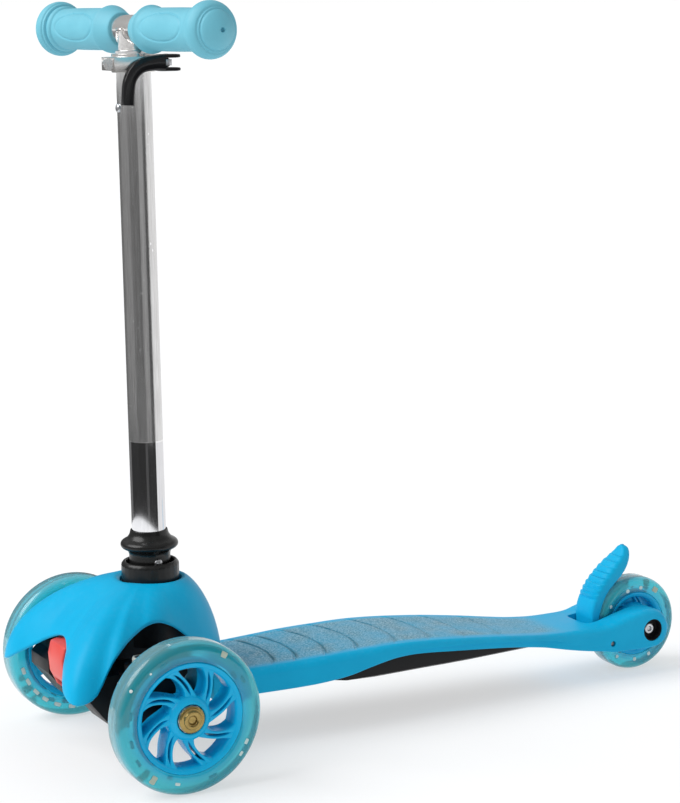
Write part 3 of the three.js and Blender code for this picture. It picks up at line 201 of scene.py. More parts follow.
def solid_object(name, shape, sharp=35):
    """Object from points and faces: doubles merged, holes closed, faces turned outwards."""
    points, faces = shape
    mesh = bpy.data.meshes.new(name)
    mesh.from_pydata(points.tolist(), [], faces.tolist())
    work = bmesh.new()
    work.from_mesh(mesh)
    bmesh.ops.remove_doubles(work, verts=work.verts, dist=MM / 500)
    bmesh.ops.dissolve_degenerate(work, edges=work.edges, dist=MM / 1000)
    rims = [edge for edge in work.edges if edge.is_boundary]
    if rims:
        bmesh.ops.holes_fill(work, edges=rims, sides=0)
    bmesh.ops.recalc_face_normals(work, faces=work.faces)
    work.to_mesh(mesh)
    work.free()
    piece = bpy.data.objects.new(name, mesh)
    bpy.context.scene.collection.objects.link(piece)
    shade(piece, sharp)
    return piece


def shade(piece, sharp):
    """Smooth shading, broken at edges that turn by more than sharp degrees."""
    mesh = piece.data
    mesh.polygons.foreach_set("use_smooth", [True] * len(mesh.polygons))
    mesh.set_sharp_from_angle(angle=math.radians(sharp))
    mesh.update()


def applied(piece):
    """The piece with its modifiers made part of its mesh."""
    shown = piece.evaluated_get(bpy.context.evaluated_depsgraph_get())
    mesh = bpy.data.meshes.new_from_object(shown)
    piece.modifiers.clear()
    piece.data = mesh
    return piece


def places_of(piece):
    """Points of a piece's mesh in mm, one row each."""
    flat = np.zeros(len(piece.data.vertices) * 3)
    piece.data.vertices.foreach_get("co", flat)
    return flat.reshape(-1, 3) / MM


def mark_points(piece, **masks):
    """One value per point for each name, which a material can read."""
    for label, values in masks.items():
        layer = piece.data.attributes.new(label, "FLOAT", "POINT")
        layer.data.foreach_set("value", values.astype(np.float32))


print("a grid of 3 by 4 points has", len(grid_faces(3, 4)), "faces")

# %% [markdown]
# A finished piece takes the place of a imported part, moves with its body and takes the
# material it is given. Small cast and turned parts are right as they are packed, apart from
# their knife edges, so a copy of such a part has its edges rounded.

# %% Dressing the imported parts
def dressed(piece, node, material):
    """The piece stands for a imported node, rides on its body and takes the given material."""
    piece.data.materials.clear()
    piece.data.materials.append(material)
    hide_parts(node)
    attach(piece, body_of[node])
    return piece


def bevelled(piece, width, steps, angle):
    """Round every edge that turns by more than angle degrees, and make that part of the mesh."""
    bevel = piece.modifiers.new("edges", "BEVEL")
    bevel.width = width * MM
    bevel.segments = steps
    bevel.limit_method = "ANGLE"
    bevel.angle_limit = math.radians(angle)
    return applied(piece)


def softened(node, material, edge, steps=3, sharp=40, angle=28):
    """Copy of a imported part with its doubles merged, its flat faces joined and its edges rounded."""
    mesh = nodes[node].data.copy()
    work = bmesh.new()
    work.from_mesh(mesh)
    bmesh.ops.remove_doubles(work, verts=work.verts, dist=MM / 500)
    bmesh.ops.dissolve_limit(work, angle_limit=math.radians(0.5), verts=work.verts, edges=work.edges)
    bmesh.ops.recalc_face_normals(work, faces=work.faces)
    work.to_mesh(mesh)
    work.free()
    piece = bpy.data.objects.new(f"{node}_moulded", mesh)
    bpy.context.scene.collection.objects.link(piece)
    shade(bevelled(piece, edge, steps, angle), sharp)
    return dressed(piece, node, material)


print("parts to dress", len(nodes))

# %% [markdown]
# Turned parts come from a profile: radius and height along an axis. The corners of a
# profile are rounded with small curves, since no moulded or machined edge is a knife.

# %% Profiles
def rounded(profile, radius, steps=4, closed=True):
    """Profile with each corner replaced by the curve between two points beside it and the corner.

    On long edges one more point stands just past the curve, so the shading of the
    straight part isn't bent by the corner.
    """
    corners = np.asarray(profile, float)
    share = np.linspace(0, 1, steps + 1)[:, None]
    found = []
    for i, corner in enumerate(corners):
        if not closed and i in (0, len(corners) - 1):
            found.append(corner[None])
            continue
        before, after = corners[i - 1] - corner, corners[(i + 1) % len(corners)] - corner
        reach = min(radius, np.linalg.norm(before) * 0.45, np.linalg.norm(after) * 0.45)
        start = corner + before / np.linalg.norm(before) * reach
        end = corner + after / np.linalg.norm(after) * reach
        curve = [(1 - share) ** 2 * start + 2 * share * (1 - share) * corner + share ** 2 * end]
        guard = reach + 0.25
        if np.linalg.norm(before) > 4 * guard:
            curve.insert(0, (corner + before / np.linalg.norm(before) * guard)[None])
        if np.linalg.norm(after) > 4 * guard:
            curve.append((corner + after / np.linalg.norm(after) * guard)[None])
        found.append(np.concatenate(curve))
    return np.concatenate(found)


square = [(0, 0), (1, 0), (1, 1), (0, 1)]
print("a square with round corners has", len(rounded(square, 0.2)), "points")

# %% [markdown]
# Turning a profile is a grid too: one row for each of its points, one column for each
# step round the axis. Wheels, tyres, tubes, bolts and buttons are all made this way.

# %% Turning
def lathe(profile, origin, axis, sides=64, right=None, up=None, closed=True, swell=None):
    """Profile of [radius, height] in mm turned about an axis.

    Point = origin + axis times height + (right times cos + up times sin) times radius.
    """
    axis = np.asarray(axis, float)
    if right is None:
        right = np.array([1.0, 0, 0]) if abs(axis[0]) < 0.8 else np.array([0, 1.0, 0])
    right = right - axis * (right @ axis)
    right = right / np.linalg.norm(right)
    up = np.cross(axis, right) if up is None else np.asarray(up, float)
    turn = np.linspace(0, 2 * np.pi, sides, endpoint=False)
    radius, height = (np.asarray(profile, float) * MM).T
    rim = radius[:, None] * np.ones(sides)[None]
    if swell is not None:
        rim = rim * swell(profile, turn)
    around = np.cos(turn)[:, None] * right + np.sin(turn)[:, None] * up
    grid = np.asarray(origin) + height[:, None, None] * axis + rim[..., None] * around[None]
    return surface(grid, round_rows=closed)


def turned_piece(name, node, profile, origin, axis, sides, material, sharp=35, **how):
    """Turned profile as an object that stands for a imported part."""
    return dressed(solid_object(name, lathe(profile, origin, axis, sides, **how), sharp), node, material)


print("a square turned in 8 steps has", len(lathe(square, (0, 0, 0), (0, 0, 1), 8)[1]), "faces")

# %% [markdown]
# Two more tools. A ball whose sines and cosines are raised to a small power swells into
# a block with round corners. A smooth curve through a few measured places gives a shape
# along its length without a kink.

# %% Blocks and curves
def squashed(value, power):
    """A sine or cosine raised to a power with its sign kept: under 1 it squares a circle."""
    return np.sign(value) * np.abs(value) ** power


def ring_block(centre, forward, across, outward, halves, power=0.35, rows=9, columns=16):
    """Block with rounded corners: the cosines and sines of a ball's angles raised to a small power."""
    tilt = np.linspace(-np.pi / 2, np.pi / 2, rows)[:, None]
    turn = np.linspace(0, 2 * np.pi, columns, endpoint=False)[None]
    shape = [squashed(np.cos(tilt), power) * squashed(np.cos(turn), power),
             squashed(np.cos(tilt), power) * squashed(np.sin(turn), power),
             squashed(np.sin(tilt), power) * np.ones_like(turn)]
    axes = [np.asarray(v, float) for v in (forward, across, outward)]
    offset = sum(s[..., None] * v * h * MM for s, v, h in zip(shape, axes, halves))
    return surface(np.asarray(centre) + offset)


def smooth_step(value, low, high):
    """0 below low, 1 above high, and 3t squared minus 2t cubed between them."""
    t = np.clip((value - low) / (high - low), 0, 1)
    return t * t * (3 - 2 * t)


def flow(places, values, wanted):
    """Smooth curve through values at places.

    Between two places it is a cubic whose slope at each is the chord between the
    neighbours on both sides, and level at the two ends.
    """
    places, values = np.asarray(places, float), np.asarray(values, float)
    slopes = np.zeros_like(values)
    slopes[1:-1] = (values[2:] - values[:-2]) / (places[2:] - places[:-2])[:, None]
    i = np.clip(np.searchsorted(places, wanted, side="right") - 1, 0, len(places) - 2)
    step = places[i + 1] - places[i]
    t = ((wanted - places[i]) / step)[..., None]
    step = step[..., None]
    return ((2 * t ** 3 - 3 * t ** 2 + 1) * values[i] + (t ** 3 - 2 * t ** 2 + t) * step * slopes[i]
            + (3 * t ** 2 - 2 * t ** 3) * values[i + 1] + (t ** 3 - t ** 2) * step * slopes[i + 1])


print("halfway up a smooth step:", smooth_step(0.5, 0, 1))

# %% [markdown]
# Moulded plastic is never one flat colour. Four effects are built once as node groups:
# a fine grain, a slow mottle in tone, thin scuffs, and dust that settles where a face
# looks up. Each material places them with its own strength.

# %% Node helpers
def effect_group(name, inputs, output):
    """Node group with float inputs, one float output and the object's own coordinates inside."""
    group = bpy.data.node_groups.new(name, "ShaderNodeTree")
    for label, value in inputs.items():
        socket = group.interface.new_socket(label, in_out="INPUT", socket_type="NodeSocketFloat")
        socket.default_value = value
    group.interface.new_socket(output, in_out="OUTPUT", socket_type="NodeSocketFloat")
    entry = group.nodes.new("NodeGroupInput")
    leave = group.nodes.new("NodeGroupOutput")
    places = group.nodes.new("ShaderNodeTexCoord")
    return group, entry, leave, places.outputs["Object"]


def noise_in(group, place, scale, detail=3.0, stretch=None):
    """Noise node on the given coordinates, stretched along each axis if asked."""
    node = group.nodes.new("ShaderNodeTexNoise")
    node.inputs["Detail"].default_value = detail
    if stretch is not None:
        mapping = group.nodes.new("ShaderNodeMapping")
        mapping.inputs["Scale"].default_value = stretch
        group.links.new(place, mapping.inputs["Vector"])
        place = mapping.outputs["Vector"]
    group.links.new(place, node.inputs["Vector"])
    if isinstance(scale, bpy.types.NodeSocket):
        group.links.new(scale, node.inputs["Scale"])
    else:
        node.inputs["Scale"].default_value = scale
    return node.outputs["Fac"]


def remapped(group, value, low, high, to_low=0.0, to_high=1.0):
    """Value moved from one range to another and held inside it."""
    node = group.nodes.new("ShaderNodeMapRange")
    node.inputs["From Min"].default_value = low
    node.inputs["From Max"].default_value = high
    node.inputs["To Min"].default_value = to_low
    node.inputs["To Max"].default_value = to_high
    group.links.new(value, node.inputs["Value"])
    return node.outputs["Result"]


def product(group, first, second):
    """First value times second."""
    node = group.nodes.new("ShaderNodeMath")
    node.operation = "MULTIPLY"
    group.links.new(first, node.inputs[0])
    group.links.new(second, node.inputs[1])
    return node.outputs["Value"]


# %% [markdown]
# Grain and mottle are plain noise at two scales. Scuffs are noise stretched along one
# axis and kept to patches, and dust is fine specks on faces whose normal points up.

# %% Shared effects
grain_group, entry, leave, place = effect_group("moulded_grain", {"Scale": 1800.0}, "Height")
grain_group.links.new(noise_in(grain_group, place, entry.outputs["Scale"], 2.0), leave.inputs["Height"])

mottle_group, entry, leave, place = effect_group("slow_mottle", {"Scale": 40.0}, "Tone")
mottle_tone = remapped(mottle_group, noise_in(mottle_group, place, entry.outputs["Scale"], 5.0), 0.3, 0.7)
mottle_group.links.new(mottle_tone, leave.inputs["Tone"])

scuff_group, entry, leave, place = effect_group("thin_scuffs", {"Amount": 1.0}, "Mask")
long_marks = remapped(scuff_group, noise_in(scuff_group, place, 90.0, 6.0, (1.0, 9.0, 9.0)), 0.66, 0.74)
patches = remapped(scuff_group, noise_in(scuff_group, place, 14.0, 2.0), 0.5, 0.65)
scuff_mask = product(scuff_group, product(scuff_group, long_marks, patches), entry.outputs["Amount"])
scuff_group.links.new(scuff_mask, leave.inputs["Mask"])

dust_group, entry, leave, place = effect_group("settled_dust", {"Amount": 1.0}, "Mask")
facing = dust_group.nodes.new("ShaderNodeNewGeometry")
facing_parts = dust_group.nodes.new("ShaderNodeSeparateXYZ")
dust_group.links.new(facing.outputs["Normal"], facing_parts.inputs["Vector"])
upward = remapped(dust_group, facing_parts.outputs["Z"], 0.2, 1.0)
specks = remapped(dust_group, noise_in(dust_group, place, 260.0, 8.0), 0.45, 0.8)
dust_mask = product(dust_group, product(dust_group, upward, specks), entry.outputs["Amount"])
dust_group.links.new(dust_mask, leave.inputs["Mask"])
print("effects", [g.name for g in bpy.data.node_groups])

# %% [markdown]
# One function makes every moulded finish: two tones of the colour, mixed by the mottle,
# lightened a little by dust and scuffs, with the grain as relief. A second makes metal.

# %% Material helpers
def placed(tree, group, **settings):
    """Group node in a material, with its inputs set."""
    node = tree.nodes.new("ShaderNodeGroup")
    node.node_tree = group
    for label, value in settings.items():
        node.inputs[label].default_value = value
    return node.outputs[0]


def mixed(tree, factor, first, second):
    """Colour mixed by a factor: each colour is a socket or a plain value."""
    node = tree.nodes.new("ShaderNodeMix")
    node.data_type = "RGBA"
    tree.links.new(factor, node.inputs["Factor"])
    for socket, colour in ((node.inputs[6], first), (node.inputs[7], second)):
        if hasattr(colour, "is_linked"):
            tree.links.new(colour, socket)
        else:
            socket.default_value = (*colour, 1)
    return node.outputs[2]


def bumped(tree, shader, height, strength, distance):
    """Relief on a shader from a height between 0 and 1."""
    node = tree.nodes.new("ShaderNodeBump")
    node.inputs["Strength"].default_value = strength
    node.inputs["Distance"].default_value = distance * MM
    tree.links.new(height, node.inputs["Height"])
    tree.links.new(node.outputs["Normal"], shader.inputs["Normal"])


def mask_of(tree, label):
    """Value that the mesh stores for each point under a name."""
    node = tree.nodes.new("ShaderNodeAttribute")
    node.attribute_name = label
    return node.outputs["Fac"]


def fresh(name):
    """New material with its tree and its Principled shader."""
    material = bpy.data.materials.new(name)
    material.use_nodes = True
    tree = material.node_tree
    return material, tree, tree.nodes["Principled BSDF"]


def moulded(name, light, dark, roughness, grain=1800.0, relief=0.25, dust=0.12, scuffs=0.2, coat=0.0,
            mottle=40.0, shine=0.5):
    """Moulded plastic: two tones, a range of roughness, grain, dust and scuffs."""
    material, tree, shader = fresh(name)
    tone = placed(tree, mottle_group, Scale=mottle)
    colour = mixed(tree, tone, dark, light)
    pale = tuple(min(1.0, channel * 0.6 + 0.4) for channel in light)
    if scuffs:
        colour = mixed(tree, placed(tree, scuff_group, Amount=scuffs), colour, pale)
    if dust:
        colour = mixed(tree, placed(tree, dust_group, Amount=dust), colour, (0.62, 0.62, 0.6))
    tree.links.new(colour, shader.inputs["Base Color"])
    tree.links.new(remapped(tree, tone, 0, 1, roughness[0], roughness[1]), shader.inputs["Roughness"])
    bumped(tree, shader, placed(tree, grain_group, Scale=grain), relief, 0.05)
    shader.inputs["Coat Weight"].default_value = coat
    shader.inputs["Specular IOR Level"].default_value = shine
    shader.inputs["Coat Roughness"].default_value = 0.12
    return material


def metal(name, light, dark, roughness, fine=600.0, relief=0.08):
    """Metal: two tones, and a roughness and relief that vary with a fine noise."""
    material, tree, shader = fresh(name)
    shader.inputs["Metallic"].default_value = 1.0
    places = tree.nodes.new("ShaderNodeTexCoord").outputs["Object"]
    marks = remapped(tree, noise_in(tree, places, fine, 4.0), 0.3, 0.7)
    tone = placed(tree, mottle_group, Scale=70.0)
    tree.links.new(mixed(tree, tone, dark, light), shader.inputs["Base Color"])
    tree.links.new(remapped(tree, marks, 0, 1, roughness[0], roughness[1]), shader.inputs["Roughness"])
    bumped(tree, shader, marks, relief, 0.02)
    return material


# %% [markdown]
# Every finish of the scooter, as a light tone, a dark tone and a range of roughness. The
# blues are satin, the collar and the lever shine more than the frame, and the bar and
# the clamp are plated while the bolts are zinc or brass coloured.

# %% Finishes
sky_blue, sky_blue_shade = (0.003, 0.40, 0.68), (0.002, 0.37, 0.64)
body_blue = moulded("body_blue", sky_blue, sky_blue_shade, (0.36, 0.46), relief=0.3,
                    dust=0.02, scuffs=0.08, shine=0.12)
wheel_blue = moulded("wheel_blue", (0.003, 0.46, 0.80), (0.002, 0.42, 0.74), (0.2, 0.3), relief=0.15,
                     dust=0.02, scuffs=0.1, shine=0.25)
grip_blue = moulded("grip_blue", (0.155, 0.50, 0.62), (0.13, 0.46, 0.58), (0.5, 0.62), grain=1200.0,
                    relief=0.4, dust=0.08, scuffs=0.05)
frame_black = moulded("frame_black", (0.009, 0.009, 0.010), (0.005, 0.005, 0.006), (0.35, 0.5), relief=0.35,
                      dust=0.03, scuffs=0.1, shine=0.2)
collar_black = moulded("collar_black", (0.011, 0.011, 0.011), (0.008, 0.008, 0.008), (0.24, 0.34), relief=0.2,
                       dust=0.02, scuffs=0.1, shine=0.35)
lever_black = moulded("lever_black", (0.006, 0.006, 0.007), (0.004, 0.004, 0.005), (0.1, 0.16), relief=0.05,
                      dust=0.02, scuffs=0.1, coat=0.1, shine=0.35)
head_red = moulded("head_red", (0.72, 0.075, 0.06), (0.62, 0.055, 0.045), (0.32, 0.42), dust=0.05)
nut_white = moulded("nut_white", (0.80, 0.82, 0.74), (0.72, 0.74, 0.66), (0.35, 0.5), dust=0.15)
# Also the colour of the two painted glints in the front tyre.
strip_and_glint_white = moulded("strip_and_glint_white", (0.82, 0.86, 0.84), (0.72, 0.78, 0.76), (0.35, 0.5), scuffs=0.0)
bush_black = moulded("bush_black", (0.012, 0.012, 0.013), (0.008, 0.008, 0.008), (0.75, 0.9), scuffs=0.0)
zinc = metal("zinc", (0.66, 0.67, 0.69), (0.52, 0.53, 0.55), (0.25, 0.4))
clamp_silver = metal("clamp_silver", (0.86, 0.84, 0.83), (0.66, 0.64, 0.63), (0.2, 0.3), relief=0.02)
bar_chrome = metal("bar_chrome", (0.94, 0.92, 0.90), (0.86, 0.84, 0.82), (0.16, 0.26), relief=0.02)
# Dark metal for the brake's pins: painted shade of the holes they sit in.
shaded_pin_steel = metal("shaded_pin_steel", (0.20, 0.21, 0.22), (0.14, 0.14, 0.15), (0.25, 0.4))
brass = metal("brass", (0.46, 0.33, 0.12), (0.30, 0.21, 0.07), (0.2, 0.38))
print("materials", len(bpy.data.materials))

# %% [markdown]
# The tyres are cast in clear polyurethane with a teal tint, and the lights' strip lies
# inside. Plain glass would be too clear and plain plastic too solid, so the shader
# passes about two thirds of the light and scatters the rest. The outer edge, where
# there is nothing but clear material, is paler, and this pale band is partly a painted
# highlight along the rim. Beside the rim the blue shines through. Two attributes on
# the mesh mark these places.

# %% Tyre material
tyre_teal, tree, shader = fresh("tyre_teal")
tone = placed(tree, mottle_group, Scale=26.0)
teal = mixed(tree, tone, (0.03, 0.60, 0.70), (0.07, 0.68, 0.77))
teal = mixed(tree, mask_of(tree, "rim_side"), teal, (0.004, 0.45, 0.76))
# Pale at the outer edge: partly the clear material, partly a painted highlight along the rim.
teal = mixed(tree, mask_of(tree, "outer_edge"), teal, (0.50, 0.62, 0.62))
tree.links.new(teal, shader.inputs["Base Color"])
tree.links.new(remapped(tree, tone, 0, 1, 0.1, 0.16), shader.inputs["Roughness"])
bumped(tree, shader, placed(tree, grain_group, Scale=300.0), 0.04, 0.05)
shader.inputs["Transmission Weight"].default_value = 0.66
shader.inputs["IOR"].default_value = 1.45
shader.inputs["Coat Weight"].default_value = 0.3
shader.inputs["Coat Roughness"].default_value = 0.08
print("tyre material", len(tree.nodes), "nodes")

# %% [markdown]
# A wheel is a hub, a rim and double spokes that sweep forward, moulded in one piece.
# Each spoke is two ribs with a narrow slot between them. A rib is a loft: along it runs a
# centreline whose angle falls evenly with the radius, and it thickens at both ends
# where it melts into the hub and the rim. The rear wheel has a thin disc between.

# %% Spokes
# Radius of the tyre and of the rim in mm, count of spokes and their depth along the axle
wheel_sizes = {"left_wheel": (60.0, 43.5, 8, 17.0), "right_wheel": (60.0, 43.5, 8, 17.0),
               "rear_wheel": (42.0, 28.5, 6, 10.0)}
rib_sections, rib_columns, rib_power = 15, 16, 0.45
spoke_sweep, spoke_turn = math.radians(28), math.radians(26.75)
rib_thickness, rib_offset, rib_flare = 2.9, 2.3, 3.3


def wheel_frame(name):
    """Centre of a wheel and its forward, up and outward directions. The right one is turned half a turn."""
    side = -1.0 if name == "right_wheel" else 1.0
    return middle(f"{name}_tyre"), np.array([side, 0, 0]), np.array([0, 0, 1.0]), np.array([0, side, 0])


def rib(frame_axes, angle_at, offset, radii, depth):
    """Curved blade from hub to rim.

    At each radius r the middle lies at the angle of the spoke plus offset / r, and the
    section is a rounded rectangle, its thickness across and its depth along the axle. It
    swells with the square of the way into the first 42% and the last 30% of its length.
    """
    centre, forward, up, outward = frame_axes
    share = np.linspace(0, 1, rib_sections)
    radius = radii[0] + (radii[1] - radii[0]) * share
    swell = rib_flare * (np.maximum(0, 1 - share / 0.42) ** 2 + np.maximum(0, (share - 0.7) / 0.3) ** 2)
    half_thick = rib_thickness / 2 + swell
    half_deep = depth / 2 + 0.3 * swell
    turn = np.linspace(0, 2 * np.pi, rib_columns, endpoint=False)
    across = half_thick[:, None] * squashed(np.cos(turn), rib_power)[None]
    along = half_deep[:, None] * squashed(np.sin(turn), rib_power)[None]
    angle = angle_at(radius)[:, None] + (offset + across) / radius[:, None]
    flat = np.cos(angle)[..., None] * forward + np.sin(angle)[..., None] * up
    return surface(centre + (radius[:, None, None] * flat + along[..., None] * outward) * MM)


print("wheel sizes", wheel_sizes)

# %% [markdown]
# The hub and the rim are turned and overlap the ends of the ribs. All of it is one
# moulding, so it becomes one object.

# %% Wheel cores
hub_radius, hub_half, hub_bore = 16.2, 12.0, 11.3
rim_wall, rim_half = 5.0, 10.9


def wheel_core(name, rim_radius, count, rib_depth):
    """Hub, rim and all spokes of one wheel as one object."""
    axes = wheel_frame(name)
    centre, forward, up, outward = axes
    inner, outer = hub_radius - 1.5, rim_radius - rim_wall + 1.2
    first, last = hub_radius + 1.3, rim_radius - 2.0
    pitch = 2 * math.pi / count
    pieces = []
    for k in range(count):
        angle_at = lambda r: spoke_turn + pitch / 2 + pitch * k - spoke_sweep * (r - first) / (last - first)
        for side in (-1, 1):
            pieces.append(rib(axes, angle_at, side * rib_offset, (inner, outer), rib_depth))
    hub = rounded([(hub_bore, -hub_half), (hub_radius - 1, -hub_half), (hub_radius + 1, -hub_half * 0.5),
                   (hub_radius + 2.2, hub_half * 0.5), (hub_radius + 0.6, hub_half * 0.8),
                   (hub_radius - 2.4, hub_half), (hub_bore, hub_half)], 2.2)
    inside = rim_radius - rim_wall
    rim = rounded([(inside, -rim_half + 3.2), (inside + 1.6, -rim_half + 0.9), (rim_radius - 0.6, -rim_half),
                   (rim_radius, -rim_half + 0.8), (rim_radius, rim_half - 0.8), (rim_radius - 0.6, rim_half),
                   (inside + 1.6, rim_half - 0.9), (inside, rim_half - 3.2), (inside - 0.5, 0)], 1.5)
    if name == "rear_wheel":
        disc_in, disc_out, disc_half = hub_radius - 1, inside + 1, 1.6
        disc = rounded([(disc_in, -disc_half), (disc_out, -disc_half), (disc_out, disc_half),
                        (disc_in, disc_half)], 0.3)
        pieces.append(lathe(disc, centre, outward, 64, forward, up))
    pieces.append(lathe(hub, centre, outward, 64, forward, up))
    pieces.append(lathe(rim, centre, outward, 112, forward, up))
    core = solid_object(f"{name}_spoked_core", together(*pieces), 45)
    return dressed(core, f"{name}_core", wheel_blue)


print("hub", 2 * hub_radius, "mm across, rim wall", rim_wall, "mm")

# %% [markdown]
# A tyre is a turned ring with rolled shoulders and a groove inside for the light strip.
# Each of its points stores how near it is to the outer edge and to the rim, and the
# tyre's material mixes its colours by these.

# %% Tyres
rim_gap = 0.05


def tyre(name, radius, bore):
    """Ring with rolled shoulders, a shallow step beside the rim and a groove for the light strip."""
    centre, forward, up, outward = wheel_frame(name)
    half, crown, groove, groove_half = 12.0, 7.0, 2.1, 4.7
    sweep = np.linspace(0, np.pi / 2, 10)
    shoulder = np.stack([radius - crown + crown * np.sin(sweep), half - crown + crown * np.cos(sweep)], 1)
    step = np.array([(bore, half - 1.5), (bore + 0.3, half - 1.1), (bore + 1.1, half - 0.5),
                     (bore + 2.4, half - 0.25), (bore + 4.0, half - 0.3), (bore + 6.0, half - 0.15)])
    upper = np.concatenate([step, shoulder])
    lower = (upper * [1, -1])[::-1]
    inside = np.array([(bore, -groove_half), (bore + groove, -groove_half), (bore + groove, groove_half),
                       (bore, groove_half)])
    profile = np.concatenate([upper, lower, inside])
    cast = solid_object(f"{name}_cast_tyre", lathe(profile, centre, outward, 128, forward, up), 30)
    away = np.linalg.norm((places_of(cast) - centre / MM)[:, ::2], axis=1)
    # Outer edge mask: a pale band round the tyre that is partly a painted highlight.
    mark_points(cast, outer_edge=0.5 * np.clip((away - radius + 3.5) / 3, 0, 1) ** 1.5,
                rim_side=0.85 * np.clip((bore + 8.0 - away) / 7, 0, 1))
    return dressed(cast, f"{name}_tyre", tyre_teal)


for name, (radius, rim_radius, count, rib_depth) in wheel_sizes.items():
    core = wheel_core(name, rim_radius, count, rib_depth)
    cast = tyre(name, radius, rim_radius + rim_gap)
    print(core.name, len(core.data.polygons), "faces,", cast.name, len(cast.data.polygons), "faces")

# %% [markdown]
# Inside each tyre a white strip carries small boards and lights, cast in near the side
# face. They show through the polyurethane as pale and dark marks, so they are real
# blocks placed by their angle and radius, not paint. Two small white balls in the
# front tyre are painted highlights instead: glints on its surface, made as blocks too.

# %% Lights in the tyres
clear_beige = moulded("clear_beige", (0.46, 0.52, 0.42), (0.36, 0.44, 0.36), (0.12, 0.2), scuffs=0.0)
clear_white = moulded("clear_white", (0.60, 0.72, 0.70), (0.50, 0.66, 0.66), (0.12, 0.2), scuffs=0.0)
clear_dark = moulded("clear_dark", (0.02, 0.28, 0.37), (0.015, 0.23, 0.31), (0.12, 0.2), scuffs=0.0)
# Each mark: material, angle in degrees, radius, half length and half height in mm
front_marks = [
    (clear_beige, -53, 53.0, 2.6, 3.4), (clear_beige, 121, 54.0, 2.8, 2.4),
    # The next two white balls, at 31 and 51 degrees, are painted highlights: glints on the tyre's surface,
    # not lights of the strip.
    (strip_and_glint_white, 31, 56.3, 1.3, 1.3), (strip_and_glint_white, 51, 51.5, 1.3, 1.3),
    (clear_white, -76, 50.3, 2.2, 1.2),
    (clear_white, -152, 51.7, 2.4, 1.4), (clear_white, -141, 52.6, 2.2, 1.2),
    (clear_dark, 11, 49.8, 3.4, 1.3), (clear_dark, -14, 50.1, 3.4, 1.3), (clear_dark, -32, 51.5, 3.2, 1.3),
    (clear_dark, 64, 50.0, 3.0, 1.2), (clear_dark, 150, 50.0, 3.4, 1.3), (clear_dark, -110, 50.2, 3.4, 1.3),
]
rear_dots = [(34, 34.2), (72, 32.4), (97, 32.6), (-53, 34.6), (-87, 32.6), (-115, 32.6)]
rear_marks = [
    (clear_beige, 124, 34.6, 3.0, 2.4),
    *((clear_white, degrees, radius, 1.9, 1.9) for degrees, radius in rear_dots),
    (clear_dark, -20, 33.4, 1.8, 0.6), (clear_dark, 160, 33.4, 1.8, 0.6),
]
far_marks = [(clear_white, degrees, 51.0, 3.2, 1.7)
             for degrees in (196, 208, 221, 233, 247, 262, 150, 120, 60)]
strip_half, mark_way_out, mark_half = 4.3, 11.45, 0.6
board_power, round_mark_power = 0.35, 0.8


def light_strip(name, rim_radius, marks):
    """White strip round the rim, and for each mark a block near both side faces of the tyre.

    A mark as long as it is high is nearly a ball, and so are the lamps and the painted glints; a board is a
    block with round corners.
    """
    centre, forward, up, outward = wheel_frame(name)
    low, high = rim_radius + 0.3, rim_radius + 1.7
    band = rounded([(low, -strip_half), (high, -strip_half), (high, strip_half), (low, strip_half)], 0.4)
    turned_piece(f"{name}_light_strip", f"{name}_light_ring", band, centre, outward, 96, strip_and_glint_white,
                 right=forward, up=up)
    for index, (material, degrees, radius, length, height) in enumerate(marks):
        angle = math.radians(degrees)
        across = math.cos(angle) * forward + math.sin(angle) * up
        along = -math.sin(angle) * forward + math.cos(angle) * up
        power = round_mark_power if length == height else board_power
        blocks = [ring_block(centre + (across * radius + outward * side * mark_way_out) * MM, along, across,
                             outward, (length, height, mark_half), power) for side in (-1, 1)]
        mark = solid_object(f"{name}_light_{index + 1}", together(*blocks))
        mark.data.materials.append(material)
        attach(mark, body_of[f"{name}_tyre"])
    print(name, "has", len(marks), "marks in its tyre")


for name, marks in (("left_wheel", front_marks), ("right_wheel", far_marks), ("rear_wheel", rear_marks)):
    light_strip(name, wheel_sizes[name][1], marks)

# %% [markdown]
# The front axle bolts end in a low brass coloured head: a flange, a raised ring and a
# small socket. The rear bolt and nut sit deep in black cups in the fork.

# %% Axle bolts
bolt_shank, bolt_flange, bolt_head, bolt_socket = 3.7, 10.5, 3.4, 2.4
for side, name in ((1.0, "axle_bolt_left"), (-1.0, "axle_bolt_right")):
    low, high = span(name)
    origin = np.array([(low[0] + high[0]) / 2, 0, (low[2] + high[2]) / 2])
    face = max(abs(low[1]), abs(high[1])) / MM
    root = min(abs(low[1]), abs(high[1])) / MM
    seat = face - bolt_head
    profile = rounded([(0, root), (bolt_shank, root), (bolt_shank, seat), (bolt_flange, seat),
                       (bolt_flange, seat + 1.0), (9.2, seat + 1.9), (7.4, seat + 2.0), (6.9, face),
                       (4.6, face), (3.4, face - 0.8), (3.0, face - bolt_socket),
                       (0, face - bolt_socket)], 0.5, closed=False)
    turned_piece(f"{name}_turned", name, profile, origin, (0, side, 0), 48, brass, 30, closed=False)

rear_low, rear_high = span("rear_axle_bolt")
rear_axle = np.array([(rear_low[0] + rear_high[0]) / 2, 0, (rear_low[2] + rear_high[2]) / 2])
rear_face = rear_high[1] / MM
rear_seat, rear_top, rear_socket = rear_face - 3.5, rear_face - 0.4, rear_face - bolt_socket
profile = rounded([(0, -rear_face), (bolt_shank, -rear_face), (bolt_shank, rear_seat), (5.2, rear_seat),
                   (5.2, rear_face - 1.4), (4.2, rear_top), (2.2, rear_top), (1.9, rear_socket),
                   (0, rear_socket)], 0.6, closed=False)
turned_piece("rear_axle_bolt_turned", "rear_axle_bolt", profile, rear_axle, (0, 1, 0), 40, zinc, 30,
             closed=False)
print("rear axle at", rear_axle)

# %% [markdown]
# The front cover is a dome round the stem. Its height falls as a rounded curve from
# the hole to the lower edge, whose reach and height change with the direction: two long
# legs ahead, an arch over each knuckle, and a short back. A table gives these for half
# of the directions, since both sides are alike.

